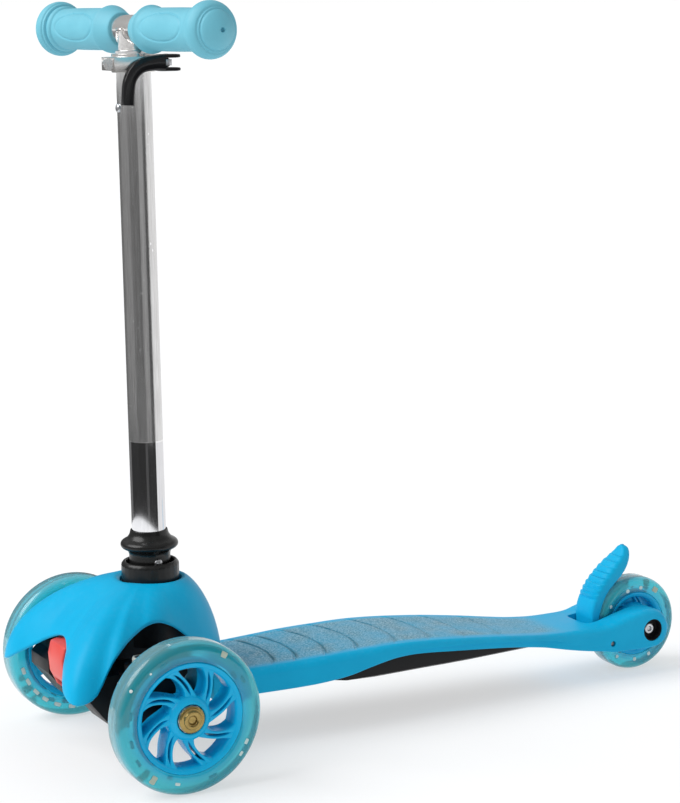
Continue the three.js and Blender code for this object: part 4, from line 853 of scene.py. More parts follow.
# %% Cover sizes
# Direction as a share of half a turn from the front, the reach there as a share of
# cover_reach, and the lower edge as a share of the fall's curve
cover_shares = [
    (0, 0.7, 0.51), (0.078, 0.742, 0.434), (0.13, 0.843, 0.276), (0.172, 0.948, 0.12), (0.208, 1, 0.045),
    (0.232, 0.975, 0.06), (0.25, 0.935, 0.14), (0.262, 0.92, 0.29), (0.272, 0.925, 0.42),
    (0.285, 0.915, 0.53),
    (0.302, 0.87, 0.63), (0.335, 0.81, 0.72), (0.367, 0.785, 0.76), (0.4, 0.725, 0.76), (0.433, 0.65, 0.725),
    (0.478, 0.565, 0.655), (0.544, 0.505, 0.525), (0.644, 0.477, 0.36), (0.744, 0.462, 0.25),
    (0.867, 0.455, 0.21), (1, 0.455, 0.205),
]
cover_low, cover_high = span("front_cover")
cover_crest, cover_reach, cover_wall = 3.2, 123.0, 3.0
cover_hole = 24.7
cover_fall = 1.6
cover_base = 66.0
cover_height = cover_high[2] / MM - cover_crest - cover_base
lip_width, lip_drop = 4.5, 2.2
stem_foot = np.array([middle("collar")[0] / MM - 0.1, 0, 0])
print("cover height", round(cover_height, 2), "mm over its base")

# %% [markdown]
# The skin is worked out for every direction and every share of the way down at once.
# The inner skin is the same curve moved inwards by the wall, and half circles close it.

# %% Front cover
def cover_point(angle, share, inset):
    """Point of the cover in mm, for a direction, a share of the way down and a depth under the skin.

    out = the share's sine times the lowest out of that direction. The height falls as
    the square root of 1 - out to the power of cover_fall, and the inset goes along the
    slope's normal.
    """
    table = np.array(cover_shares)
    found = flow(table[:, 0] * np.pi, table[:, 1:] * [cover_reach, 1], np.abs(angle))
    reach, edge = np.moveaxis(found, -1, 0)
    crest = cover_crest * (0.75 + 0.25 * smooth_step(np.abs(angle), 0, math.radians(50)))
    width = reach - cover_hole
    lowest = (1 - edge ** 2) ** (1 / cover_fall)
    out = lowest * np.sin(share * np.pi / 2)
    up = np.sqrt(1 - out ** cover_fall)
    steep = (cover_height / width) * (cover_fall / 2) * out ** (cover_fall - 1) / up
    length = np.sqrt(steep ** 2 + 1)
    radius = cover_hole + width * out - inset * steep / length
    rolled = lip_drop * np.clip(1 - width * out / lip_width, 0, 1) ** 2
    height = cover_base + (cover_height + crest * (1 - share)) * up - inset / length - rolled
    return stem_foot + np.stack([radius * np.cos(angle), radius * np.sin(angle), height], -1)


cover_columns, cover_rows, last_share = 240, 34, 0.985
angles = np.linspace(-np.pi, np.pi, cover_columns, endpoint=False)[:, None]
down_shares = (np.linspace(0, 1, cover_rows) ** 1.15 * last_share)[None]
outer_skin = cover_point(angles, down_shares, 0.0)
inner_skin = cover_point(angles, down_shares, cover_wall)


def half_round(first, second, beyond, steps=5):
    """Half circle between two edges: the middle, plus half the wall times cos and the way out times sin."""
    turn = np.linspace(0, np.pi, steps + 2)[1:-1, None, None]
    centre, half_wall = (first + second) / 2, (first - second) / 2
    size = np.linalg.norm(half_wall, axis=-1, keepdims=True)
    beyond = beyond / np.linalg.norm(beyond, axis=-1, keepdims=True)
    return np.moveaxis(centre + half_wall * np.cos(turn) + beyond * size * np.sin(turn), 0, 1)


lower_lip = half_round(outer_skin[:, -1], inner_skin[:, -1], outer_skin[:, -1] - outer_skin[:, -2])
straight_down = np.array([0, 0, -1.0]) * np.ones_like(outer_skin[:, 0])
upper_lip = half_round(inner_skin[:, 0], outer_skin[:, 0], straight_down)
cover_grid = np.concatenate([outer_skin, lower_lip, inner_skin[:, ::-1], upper_lip], 1) * MM
cover = solid_object("front_cover_shell", surface(cover_grid, round_rows=True), 50)
dressed(cover, "front_cover", body_blue)
print("front cover", cover_grid.shape)

# %% [markdown]
# The bright tube still wears its clear film, down to 25 cm above the ground. The film
# dulls the metal and has small bubbles. Its height is read from the object's own
# coordinates, which are the model's, so no texture has to be unwrapped.

# %% Filmed chrome
film_level = 0.2512
filmed_chrome, tree, shader = fresh("filmed_chrome")
shader.inputs["Metallic"].default_value = 1.0
object_place = tree.nodes.new("ShaderNodeTexCoord").outputs["Object"]
place_parts = tree.nodes.new("ShaderNodeSeparateXYZ")
tree.links.new(object_place, place_parts.inputs["Vector"])
film = remapped(tree, place_parts.outputs["Z"], film_level - 0.0007, film_level)
film_edge = product(tree, remapped(tree, place_parts.outputs["Z"], film_level - 0.0012, film_level - 0.0004),
                    remapped(tree, place_parts.outputs["Z"], film_level + 0.0008, film_level))
drawn = remapped(tree, noise_in(tree, object_place, 900.0, 5.0, (1.0, 1.0, 0.05)), 0.3, 0.7)
bubbles = remapped(tree, noise_in(tree, object_place, 210.0, 1.0), 0.735, 0.775)
film_marks = product(tree, bubbles, film)
bare = mixed(tree, drawn, (0.80, 0.80, 0.82), (0.90, 0.90, 0.92))
hazed = mixed(tree, drawn, (0.70, 0.69, 0.69), (0.86, 0.86, 0.86))
with_film = mixed(tree, film, bare, hazed)
with_marks = mixed(tree, film_marks, with_film, (1.0, 1.0, 1.0))
tree.links.new(mixed(tree, film_edge, with_marks, (1.0, 1.0, 1.0)), shader.inputs["Base Color"])
tree.links.new(remapped(tree, film, 0, 1, 0.05, 0.2), shader.inputs["Roughness"])
film_relief = tree.nodes.new("ShaderNodeMath")
film_relief.operation = "ADD"
tree.links.new(product(tree, drawn, film), film_relief.inputs[0])
tree.links.new(product(tree, film_marks, film), film_relief.inputs[1])
bumped(tree, shader, film_relief.outputs["Value"], 0.25, 0.06)
print("filmed chrome", len(tree.nodes), "nodes")

# %% [markdown]
# The stem leans a little, so its parts turn about the line that the handlebar slides
# along. Each is a profile on that line: the cup of the collar with faint ridges, the
# plug with its flared flange, and the bright tube. Heights along it count from the top
# of the cover.

# %% Stem
stem_axis = np.array(joints["height_slide"]["axis"], float)
stem_axis /= np.linalg.norm(stem_axis)
tube_middle = middle("stem_tube")
stem_level = 135.2


def on_stem(height):
    """Point of the stem's axis at a height in mm."""
    return tube_middle + stem_axis * (height * MM - tube_middle[2]) / stem_axis[2]


def stem_turned(name, profile, node, material, swell=None, sharp=35):
    """Turned piece on the stem. The profile's heights are in mm above the ground."""
    heights = np.asarray(profile, float) - [0, stem_level]
    return turned_piece(name, node, heights, on_stem(stem_level), stem_axis, 96, material, sharp, swell=swell)


def ridges(profile, turn):
    """Faint grooves round the collar's cup, above the cover only: 28 of them, as a cosine cubed."""
    radius, height = np.asarray(profile).T[..., None]
    outer = (radius > 22.5) * (height > 2)
    return 1 - 0.014 * outer * (0.5 + 0.5 * np.cos(28 * turn))[None] ** 3


collar_profile = rounded([(13.8, 98.4), (19.8, 98.4), (19.8, 135.9), (23, 135.9), (23, 151.6), (21.2, 154.0),
                          (19.4, 154.0), (19.0, 152.6), (19.0, 144.4), (13.8, 144.4)], 1.0)
stem_turned("collar_cup", collar_profile, "collar", collar_black, swell=ridges)
plug_profile = rounded([(13.8, 146.6), (16.4, 146.6), (16.4, 160.5), (18.2, 163.4), (21.4, 164.6),
                        (22.9, 166.4), (22.9, 168.6), (21.6, 170.4), (18.0, 172.2), (15.6, 175.4),
                        (14.7, 179.2), (13.8, 179.2)], 1.6, steps=6)
stem_turned("stem_plug_flange", plug_profile, "stem_plug", collar_black, sharp=60)
tube_top = span("stem_tube")[1][2] / MM - 0.2
tube_profile = rounded([(12.0, 98.7), (13.5, 98.7), (13.5, tube_top), (12.0, tube_top)], 0.5)
stem_turned("stem_tube_drawn", tube_profile, "stem_tube", filmed_chrome)
stem_lean = math.acos(stem_axis[2])
print("stem leans", round(math.degrees(stem_lean), 2), "degrees back, its tube ends at", tube_top)

# %% [markdown]
# Both buttons are small domes on a shank with a leaf spring behind. The lower one pins
# the tube in its socket, the upper one stops the handlebar at a set height.

# %% Buttons
shank = 9.0


def button(node, outward, radius, face):
    """Domed button: a shank, a cap that falls as a quarter circle, and a leaf across the shank's end.

    The leaf hangs down from the snap button and stands up from the lock button.
    """
    low, high = span(node)
    tip = max(low @ outward, high @ outward)
    centre = (low + high) / 2
    hangs = node == "snap_button"
    leaf_end = low[2] if hangs else high[2]
    origin = centre + outward * (tip - centre @ outward)
    origin[2] = high[2] - radius * MM if hangs else low[2] + radius * MM
    leaf_rise = leaf_end - origin[2]
    sweep = np.linspace(0, np.pi / 2, 7)
    dome = np.stack([radius * np.cos(sweep), -face + face * np.sin(sweep)], 1)
    profile = np.concatenate([[(0, -shank), (radius, -shank)], dome])
    shape = lathe(profile, origin, outward, 32, closed=False)
    leaf = ring_block(origin - outward * (shank + 0.2) * MM + np.array([0, 0, leaf_rise / 2]), (0, 0, 1),
                      np.cross((0, 0, 1), outward), outward, (abs(leaf_rise) / MM / 2, 1.6, 0.5))
    print(node, "leaf", round(leaf_rise / MM, 1), "mm")
    return dressed(solid_object(f"{node}_domed", together(shape, leaf), 30), node, zinc)


button("lock_button", np.array([0, 1.0, 0]), 3.3, 1.8)
button("snap_button", -np.array(joints["snap_button_press"]["axis"], float), 3.4, 1.8)

# %% [markdown]
# Grips: soft blue rubber with an angular flange inside, a slim barrel with a shallow
# oval panel on two sides, a stepped collar and a big round knob with a small hole in
# its end. The radius is a function of the reach along the bar and of the angle. The bar
# is turned a little about the stem.

# %% Grips
bar_rise = 570.5
bar_turn = math.radians(9.2)
bar_point = on_stem(stem_level) + stem_axis * (bar_rise - stem_level) * MM
tilted = Matrix.Rotation(stem_lean, 3, "Y")
bar_way, bar_ahead, bar_up = (np.array(tilted @ Vector(way)) for way in (
    (-math.sin(bar_turn), math.cos(bar_turn), 0), (math.cos(bar_turn), math.sin(bar_turn), 0), (0, 0, 1)))
# Reach along the bar and radius in mm, from the inner end to the hole in the knob's face
grip_profile = np.array([
    (14.0, 11.4), (14.1, 12.6), (14.6, 13.1), (15.4, 13.5), (21.5, 15.6), (27.0, 18.0), (28.0, 18.4),
    (28.9, 18.3), (30.2, 17.3), (32.2, 16.5), (36.0, 16.2), (50.0, 16.3), (70.0, 16.3), (92.0, 16.0),
    (94.6, 16.0), (95.4, 17.0), (96.6, 17.7), (98.8, 17.9), (99.8, 17.3), (100.4, 19.4), (102.2, 19.9),
    (102.8, 20.8), (104.6, 21.4), (107.0, 21.5), (109.6, 21.0), (112.0, 19.8), (113.7, 18.3),
    (114.0, 16.7), (115.2, 16.2), (115.4, 14.9), (116.8, 14.4), (118.4, 12.4), (120.2, 9.4),
    (121.6, 6.2), (122.6, 3.4), (122.8, 2.0), (121.6, 1.7), (120.0, 1.5), (120.0, 0.0),
])
barrel_radius, grip_step = 16.2, 0.34
panel_middle, panel_half_length, panel_half_width, panel_rise = 62.0, 27.5, 11.8, 2.6
panel_depth, panel_line = 0.4, 1.0


def grip(side, node):
    """Lathe about the bar with an oval panel sunk on the front and the back.

    Rows are close together at both ends, where the profile turns, and the barrel between
    has its own even rows. The surface sinks by panel_depth inside the oval and by
    panel_line more in the line round it.
    """
    reach_column, radius_column = grip_profile.T
    order = np.arange(len(grip_profile))
    inner, outer = np.arange(0, 10, grip_step), np.arange(13.3, len(order) - 1, grip_step)
    barrel = np.linspace(36, 92, 111)
    reach = np.concatenate([np.interp(inner, order, reach_column), barrel,
                            np.interp(outer, order, reach_column), [120.0]])
    radius = np.concatenate([np.interp(inner, order, radius_column),
                             np.interp(barrel, reach_column[10:14], radius_column[10:14]),
                             np.interp(outer, order, radius_column), [0.0]])
    turn = np.linspace(0, 2 * np.pi, 144, endpoint=False)
    on_sides = (np.abs(np.sin(turn))[None] > 0.2) * (reach[:, None] < 94)
    across = np.arcsin(np.clip(np.cos(turn), -1, 1))[None] * barrel_radius - panel_rise
    oval = ((reach[:, None] - panel_middle) / panel_half_length) ** 2 + (across / panel_half_width) ** 2
    panel = smooth_step(1 - oval, 0.0, 0.1) * on_sides
    rim_line = np.exp(-((oval - 1) / 0.09) ** 2) * on_sides
    bulk = (radius[:, None] - panel_depth * panel - panel_line * rim_line) * MM
    around = np.cos(turn)[:, None] * bar_up + np.sin(turn)[:, None] * bar_ahead
    grid = bar_point + side * reach[:, None, None] * MM * bar_way + bulk[..., None] * around[None]
    return dressed(solid_object(f"{node}_moulded", surface(grid), 40), node, grip_blue)


for side, node in ((1, "grip_left"), (-1, "grip_right")):
    print(node, len(grip(side, node).data.polygons), "faces")

# %% [markdown]
# The clamp's lever is a glossy black channel that starts as a fork round the bolt's
# eye and bends down to a blunt end. It is a rounded rectangle carried along a smooth
# curve, hollowed on its inner side.

# %% Clamp lever
lever_low, lever_high = span("clamp_lever")
clamp_point = np.array(joints["clamp_release"]["pos_m"], float)
# Points of the curve: share of the lever's reach ahead and of its fall
lever_shares = np.array([(0.13, 0.0), (0.2, 0.0), (0.3, 0.0), (0.5, 0.03), (0.66, 0.10), (0.79, 0.25),
                         (0.87, 0.45), (0.9, 0.7), (0.915, 1.0)])
lever_reach = (lever_high[0] - clamp_point[0]) / MM / 0.99
lever_fall = (clamp_point[2] - lever_low[2]) / MM
lever_side = lever_high[1] - 2.6 * MM


def lever_surface():
    """Channel: a U shaped outline in the plane across the curve, whose open side faces the stem."""
    order = np.linspace(0, 1, 60)
    line = flow(np.linspace(0, 1, len(lever_shares)), lever_shares, order)
    route = line * [lever_reach - 4.4, -lever_fall + 0.4]
    ahead = np.gradient(route, axis=0)
    ahead /= np.linalg.norm(ahead, axis=1, keepdims=True)
    normal = np.stack([-ahead[:, 1], ahead[:, 0]], 1)
    wide = np.interp(order, [0, 0.2, 0.45, 0.7, 1], [6.4, 6.1, 5.6, 5.0, 4.8])
    wall, deep = 1.3, 2.5
    outline = np.array([(-1, -1), (-0.92, 0.6), (-0.7, 1), (0, 1.06), (0.7, 1), (0.92, 0.6), (1, -1)])
    inside = np.array([(0.72, -1), (0.7, 0.2), (0, 0.34), (-0.7, 0.2), (-0.72, -1)])
    ring = rounded(np.concatenate([outline, inside]), 0.16, 3)
    across, out = ring[:, 0][None] * wide[:, None], ring[:, 1][None] * np.full((len(order), 1), deep)
    x = route[:, :1] + normal[:, :1] * across
    z = route[:, 1:] + normal[:, 1:] * across
    points = np.stack([x * MM + clamp_point[0], lever_side + out * MM, z * MM + clamp_point[2]], -1)
    return surface(points)


def prong(level):
    """Arm of the lever's fork: a rounded plate that holds the pin."""
    return ring_block(clamp_point + (stem_axis * level + np.array([0.6, 4.4, 0])) * MM, (1, 0, 0), (0, 1, 0),
                      stem_axis, (9.4, 5.6, 1.5), 0.4, 13, 28)


lever = solid_object("clamp_lever_channel", together(lever_surface(), prong(5.0), prong(-5.0)), 40)
dressed(lever, "clamp_lever", lever_black)
print("lever reaches", round(lever_reach, 1), "and falls", round(lever_fall, 1), "mm")

# %% [markdown]
# The rest of the clamp is plated: a cast ring whose corners are well rounded, and small
# turned parts, which are the bolt, its domed nut and the pin that the lever turns on.

# %% Clamp ring and its bolt
softened("clamp_ring", bar_chrome, 1.4, 4)
nut_low, nut_high = span("clamp_nut")
nut_middle = (nut_low + nut_high) / 2
nut_seat, nut_face = -nut_high[1] / MM, -nut_low[1] / MM
sweep = np.linspace(0, np.pi / 2, 8)
dome = np.stack([3.7 * np.cos(sweep), nut_face - 5.2 + 3.2 * np.sin(sweep)], 1)
flange = [(0, nut_seat), (4.4, nut_seat), (4.4, nut_seat + 0.7), (3.9, nut_seat + 0.9)]
profile = np.concatenate([flange, dome])
turned_piece("clamp_nut_domed", "clamp_nut", profile, nut_middle * [1, 0, 1], (0, -1, 0), 40, clamp_silver,
             closed=False)
softened("clamp_bolt", zinc, 0.25)
profile = rounded([(0, -6.6), (1.9, -6.6), (1.9, -3.1), (3.0, -2.7), (3.0, 2.7), (1.9, 3.1), (1.9, 6.6),
                   (0, 6.6)], 0.4, closed=False)
turned_piece("lever_pin_turned", "lever_pin", profile, clamp_point, stem_axis, 32, clamp_silver, closed=False)
print("nut from", nut_seat, "to", nut_face)

# %% [markdown]
# The handlebar is a crossbar welded on the inner tube. Two turned tubes cross, and the
# weld is a bead carried along the curve where they meet. All round the inner tube, that
# curve lies under the bar's middle by the root of the bar's radius squared minus the
# offset from the bar squared.

# %% Handlebar
bar_radius, bar_bore, bar_half = 11.0, 9.6, 115.0
sleeve_radius, sleeve_bore, sleeve_length, weld_radius = 11.4, 10.0, 190.5, 1.7
bar_profile = rounded([(bar_bore, -bar_half), (bar_radius, -bar_half), (bar_radius, bar_half),
                       (bar_bore, bar_half)], 0.3)
sleeve_profile = rounded([(sleeve_bore, -sleeve_length), (sleeve_radius, -sleeve_length),
                          (sleeve_radius, -0.5), (sleeve_bore, -0.5)], 0.3)
bar = lathe(bar_profile, bar_point, bar_way, 64)
sleeve = lathe(sleeve_profile, bar_point, stem_axis, 64)
turn = np.linspace(0, 2 * np.pi, 72, endpoint=False)
out = np.cos(turn)[:, None] * bar_way + np.sin(turn)[:, None] * bar_ahead
drop = np.sqrt(np.maximum(bar_radius ** 2 - (sleeve_radius * np.sin(turn)) ** 2, 0))
seam = bar_point + (sleeve_radius * out - drop[:, None] * stem_axis) * MM
bead = np.linspace(0, 2 * np.pi, 12, endpoint=False)[None, :, None]
weld = surface(seam[:, None] + weld_radius * MM * (np.cos(bead) * out[:, None] + np.sin(bead) * stem_axis),
               round_rows=True)
handlebar = solid_object("handlebar_welded", together(bar, sleeve, weld), 45)
dressed(handlebar, "handlebar", bar_chrome)
print("crossbar", 2 * bar_half, "mm long at", bar_point)

# %% [markdown]
# The deck is one long loft. Its half width, top and underside change along the length,
# and from the slot back it becomes the fork. These are the places where they are known,
# and a smooth curve goes through them.

# %% Deck sizes
front_axle_x = middle("left_wheel_tyre")[0] / MM
wheelbase = front_axle_x - middle("rear_wheel_tyre")[0] / MM
rear_level = middle("rear_wheel_tyre")[2] / MM
deck_front, deck_base, deck_depth, deck_half = 56.0, 45.0, 25.0, 52.0
fork_half = 37.0
fork_start = 29.0
deck_length = wheelbase - fork_start - deck_front
# Share of the length, half width as a share, top and underside as shares of the depth
deck_shares = np.array([
    (0, 0.88, 0.83, 0), (0.05, 0.905, 0.83, 0), (0.1, 0.93, 0.83, 0), (0.2, 0.98, 0.88, 0.03),
    (0.25, 1, 0.91, 0.08), (0.3, 1, 0.93, 0.17), (0.35, 0.99, 0.94, 0.34), (0.4, 0.965, 0.945, 0.46),
    (0.45, 0.94, 0.92, 0.465), (0.5, 0.92, 0.865, 0.415), (0.55, 0.904, 0.79, 0.34),
    (0.6, 0.879, 0.705, 0.26), (0.65, 0.842, 0.605, 0.17), (0.7, 0.8, 0.5, 0.07),
    (0.75, 0.754, 0.385, -0.055), (0.8, 0.712, 0.285, -0.2), (0.85, 0.69, 0.23, -0.37),
    (0.9, 0.685, 0.22, -0.53), (0.95, 0.7, 0.235, -0.65),
])
# Rows of the fork: way ahead of the axle, half width, top and underside against the axle
fork_rows = np.array([
    (38.0, 37.0, 11.5, -15.0), (27.0, 37.0, 14.5, -15.4), (16.0, 37.0, 17.0, -15.7), (5.0, 37.0, 18.2, -15.7),
])
fork_back, fork_level = 23.0, 0.8
deck_table = np.concatenate([
    deck_shares * [deck_length, deck_half, deck_depth, deck_depth] + [deck_front, 0, deck_base, deck_base],
    fork_rows * [-1, 1, 1, 1] + [wheelbase, 0, rear_level, rear_level],
])
groove_places = np.array([121.0, 141.0, 168.0, 197.0, 233.0, 266.0, 301.0, 336.0])
groove_depth, groove_fade = 0.7, [130, 200, 290, 340]
arc_bulge, arc_half = 10.0, 45.0
top_roll, low_roll = 6.5, 1.6


def deck_at(behind):
    """Half width, top and underside at a distance behind the front axle, with a round end past the fork."""
    found = flow(deck_table[:, 0], deck_table[:, 1:], np.minimum(behind, deck_table[-1, 0]))
    past = np.clip((behind - deck_table[-1, 0]) / fork_back, 0, 1)
    round_off = np.sqrt(1 - past ** 2.8)
    wide = found[..., 0] - 4.0 * (1 - round_off)
    level = rear_level + fork_level
    return wide, level + (found[..., 1] - level) * round_off, level + (found[..., 2] - level) * round_off


print("deck from", deck_front, "to", deck_table[-1, 0] + fork_back, "mm behind the front axle")

# %% [markdown]
# Half of the section goes from the middle of the top round to the middle of the
# underside, and is mirrored. Rows follow the arcs of the tread's grooves, so each groove
# is a clean sunk line. Along the middle of the deck the lower part of the side is drawn
# in under a thin lip, where the tray begins.

# %% Deck loft
def deck_sections():
    """Columns of half a section, as (share, edge, part, low_edge).

    Part 0 is the top and share its way out, 0 to 1 the rolled edge by sine and cosine, 1
    with low_edge the side, 4 the step under the lip, 2 the small lower edge, and 3 the
    underside with share its way back to the middle.
    """
    flat = np.linspace(0, 1, 16)
    roll = np.linspace(0, np.pi / 2, 9)[1:]
    small = np.linspace(0, np.pi / 2, 4)
    half = [(share, 0, 0, 0) for share in flat]
    half += [(1, np.sin(a), 1 - np.cos(a), 0) for a in roll]
    half += [(1, 1, 1, share) for share in (0.5, 0.9)]
    half += [(1, 0, 4, share) for share in (0, 0.15, 0.6, 1)]
    half += [(1, np.cos(a), 2, np.sin(a)) for a in small]
    half += [(share, 0, 3, 1) for share in (0.66, 0.33, 0)]
    return np.array(half)


def deck_grid():
    """Points of the deck. Each row is shifted forward at its sides by the arc of the grooves."""
    grooves = np.concatenate([[g - 1.5, g - 0.65, g + 0.65, g + 1.5] for g in groove_places])
    plain = np.arange(deck_front + 5, 440.0, 5.0)
    plain = plain[np.min(np.abs(plain[:, None] - groove_places[None]), 1) > 2.6]
    ends = deck_table[-1, 0] + fork_back * np.sin(np.linspace(0, np.pi / 2, 16))
    rows = np.sort(np.concatenate([[deck_front, deck_front + 0.6, deck_front + 2], grooves, plain,
                                   np.arange(441.0, deck_table[-1, 0], 3.0), ends]))
    sunk = np.min(np.abs(rows[:, None] - groove_places[None]), 1) < 1
    share, edge, part, low_edge = deck_sections().T[:, None]
    window = (smooth_step(rows, deck_front, 95) * (1 - smooth_step(rows, 380, 430)))[:, None]
    aside = share * deck_at(rows)[0][:, None]
    behind = rows[:, None] - arc_bulge * np.minimum(aside / arc_half, 1.1) ** 2 * window
    wide, top, low = deck_at(behind)
    tall = np.maximum(top - low, 0.02)
    roll = np.minimum(top_roll, tall * 0.42)
    small = np.minimum(low_roll, tall * 0.2)
    band = smooth_step(behind, 205, 245) * (1 - smooth_step(behind, 372, 402))
    under = 3.2 * band
    lip = low + small + np.minimum(np.interp(behind, [205, 235, 355, 400], [0.2, 2.6, 6.4, 5.0]),
                                   np.maximum(tall - roll - small - 0.3, 0.02))
    y = np.where(part == 0, share * (wide - roll) + edge * roll, 0)
    y = np.where((part > 0) & (part <= 1), (wide - roll) + edge * roll, y)
    y = np.where(part == 4, wide - under * low_edge, y)
    y = np.where(part == 2, wide - under - small + edge * small, y)
    y = np.where(part == 3, share * (wide - under - small), y)
    z = np.where(part <= 1, top - part * roll, 0)
    z = np.where((part == 1) & (low_edge > 0), top - roll - low_edge * (top - roll - lip), z)
    z = np.where(part == 4, lip - 0.5 * low_edge * band, z)
    z = np.where(part == 2, low + small * (1 - low_edge), z)
    z = np.where(part == 3, low, z)
    tread = (part == 0) * smooth_step(wide - roll - share * (wide - roll), 1.0, 5.0)
    tread = tread * smooth_step(behind, 84, 92) * (1 - smooth_step(behind, 378, 400))
    groove = sunk[:, None] * (tread > 0.02) * np.minimum(1, tread * 4)
    z = z - groove_depth * groove * np.interp(behind, groove_fade, [1.0, 0.8, 0.5, 0.4])
    left = np.stack([front_axle_x - behind, y, z], -1)
    right = (left * [1, -1, 1])[:, -2:0:-1]
    return np.concatenate([left, right], 1) * MM


deck_points = deck_grid()
print("deck grid", deck_points.shape)

# %% [markdown]
# Some hollows are easier to cut than to loft. A tool is a closed surface of its own, and
# an exact boolean takes it out of the piece.

# %% Cutting tools
def cutter(name, shape):
    """Object used only to cut another."""
    tool = solid_object(name, shape)
    tool.hide_render = True
    return tool


def cut_by(piece, tools):
    """Exact difference of the piece and each tool, then the tools are removed."""
    for tool in tools:
        change = piece.modifiers.new(tool.name, "BOOLEAN")
        change.operation = "DIFFERENCE"
        change.solver = "EXACT"
        change.object = tool
    applied(piece)
    for tool in tools:
        bpy.data.objects.remove(tool)
    return piece


def upright_slab(outline, low, high):
    """Flat outline of [x, y] points in mm raised from one level to another."""
    flat = np.asarray(outline, float)
    layers = [np.column_stack([flat, np.full(len(flat), level)]) for level in (low, high)]
    return surface(np.stack(layers) * MM)


print("tools ready")

# %% [markdown]
# The slot for the wheel, the cups for the axle and the holes for the brake's pins are
# cut from the deck's loft. The pocket underneath is cut too, and the black tray hangs in
# it.

# %% Deck cuts
deck_piece = solid_object("deck_moulded", surface(deck_points), 40)
rear_x = front_axle_x - wheelbase
slot_half, slot_front = 16.0, 58.0
slot_outline = rounded([(rear_x - 30, -slot_half), (rear_x + slot_front, -slot_half),
                        (rear_x + slot_front, slot_half), (rear_x - 30, slot_half)], 7, 6)
pedal_pivot = np.array(joints["brake_press"]["pos_m"], float)
rear_point = np.array([rear_x * MM, 0, rear_level * MM])
cup_hole = rounded([(0, 28.3), (9.9, 28.3), (9.9, 45), (0, 45)], 0.8, closed=False)
pin_hole = [(0, 14), (2.6, 14), (2.6, 45), (0, 45)]
pocket_rows = np.linspace(100, 402, 24)
wide, top, low = deck_at(pocket_rows)
pocket = np.stack([np.column_stack([front_axle_x - pocket_rows, side * (wide - 5.6), level])
                   for side, level in ((-1, low - 6), (1, low - 6), (1, top - 4.6), (-1, top - 4.6))], 1) * MM
tools = [cutter("slot_tool", upright_slab(slot_outline, 0, 120)), cutter("pocket_tool", surface(pocket))]
for side in (1.0, -1.0):
    tools.append(cutter(f"cup_tool_{side}", lathe(cup_hole, rear_point, (0, side, 0), 48, closed=False)))
    tools.append(cutter(f"pin_tool_{side}", lathe(pin_hole, pedal_pivot, (0, side, 0), 24, closed=False)))
cut_by(deck_piece, tools)
shade(bevelled(deck_piece, 0.7, 2, 55), 32)
print("deck", len(deck_piece.data.polygons), "faces")

# %% [markdown]
# The tread's mask is worked out on the finished mesh, from each point's place: it has to
# be on the top, inside the rolled edges and between the two ends. A second mask marks
# the grooves, which the finish darkens as painted shade.

# %% Tread masks
places = places_of(deck_piece)
behind = front_axle_x - places[:, 0]
wide, top, low = deck_at(behind)
inside_edge = smooth_step(wide - top_roll - np.abs(places[:, 1]), 0.5, 8.0)
on_top = smooth_step(places[:, 2] - top, -1.6, -1.0)
along_deck = smooth_step(behind, 82, 92) * (1 - smooth_step(behind, 376, 404))
tread = inside_edge * on_top * along_deck
arc_place = behind + arc_bulge * np.minimum(np.abs(places[:, 1]) / arc_half, 1.1) ** 2
# Groove mask: where the finish paints shade into the grooves.
groove = np.max(np.exp(-((arc_place[:, None] - groove_places[None]) / 0.9) ** 2), 1) * tread
groove = groove * np.interp(behind, groove_fade, [1.0, 0.75, 0.4, 0.3])
mark_points(deck_piece, tread=tread, groove=groove)
print("points on the tread", int(np.sum(tread > 0.5)))

# %% [markdown]
# The deck is moulded in the body's blue. On the tread stands a fine pebble, whose tops
# are a paler grey, a painted sheen, and whose gaps are darker, a painted shade. How much
# of this shows changes in slow patches of noise, and the grooves get painted shade too.

# %% Deck finish
deck_blue = moulded("deck_blue", sky_blue, sky_blue_shade, (0.34, 0.44), relief=0.25, dust=0.03,
                    scuffs=0.12, shine=0.12)
tree = deck_blue.node_tree
shader = tree.nodes["Principled BSDF"]
tread_mask = mask_of(tree, "tread")
plain_colour = shader.inputs["Base Color"].links[0].from_socket
dots = tree.nodes.new("ShaderNodeTexVoronoi")
dots.inputs["Scale"].default_value = 620.0
object_place = tree.nodes.new("ShaderNodeTexCoord").outputs["Object"]
tree.links.new(object_place, dots.inputs["Vector"])
dot_height = remapped(tree, dots.outputs["Distance"], 0.15, 0.6, 1.0, 0.0)
# Slow patches of noise set how strongly the painted dot tones show.
stipple_patches = remapped(tree, noise_in(tree, object_place, 30.0, 6.0), 0.35, 0.7, 0.45, 1.0)
# Gaps between the dots are darker as painted shade, and their tops pale grey as painted sheen.
dot_shade_and_sheen = mixed(tree, dot_height, (0.07, 0.22, 0.30), (0.41, 0.57, 0.65))
with_tread = mixed(tree, product(tree, tread_mask, stipple_patches), plain_colour, dot_shade_and_sheen)
# Grooves darkened with painted shade.
with_groove_shade = mixed(tree, mask_of(tree, "groove"), with_tread, (0.018, 0.12, 0.17))
tree.links.new(with_groove_shade, shader.inputs["Base Color"])
bumped(tree, shader, product(tree, dot_height, tread_mask), 0.7, 0.25)
dressed(deck_piece, "deck", deck_blue)
print("deck material", len(tree.nodes), "nodes")

# %% [markdown]
# A thin black cup is set in each of the fork's axle holes, round the bolt's head deep inside, and makes the
# hole dark.

# %% Axle cups
cup_profile = rounded([(3.9, 28.4), (9.7, 28.4), (9.7, 36.2), (9.0, 36.2), (8.6, 29.4), (3.9, 29.4)], 0.3)
for side, label in ((1.0, "left"), (-1.0, "right")):
    cup = solid_object(f"axle_cup_{label}", lathe(cup_profile, rear_point, (0, side, 0), 48))
    cup.data.materials.append(frame_black)
    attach(cup, "chassis")
    print(cup.name, len(cup.data.polygons), "faces")

# %% [markdown]
# The brake pedal is a leaf shaped fin. Three lines are known along its height: front,
# back and half width. The front line has saw teeth for the shoe to hold, so its rows
# are closer where the teeth are.

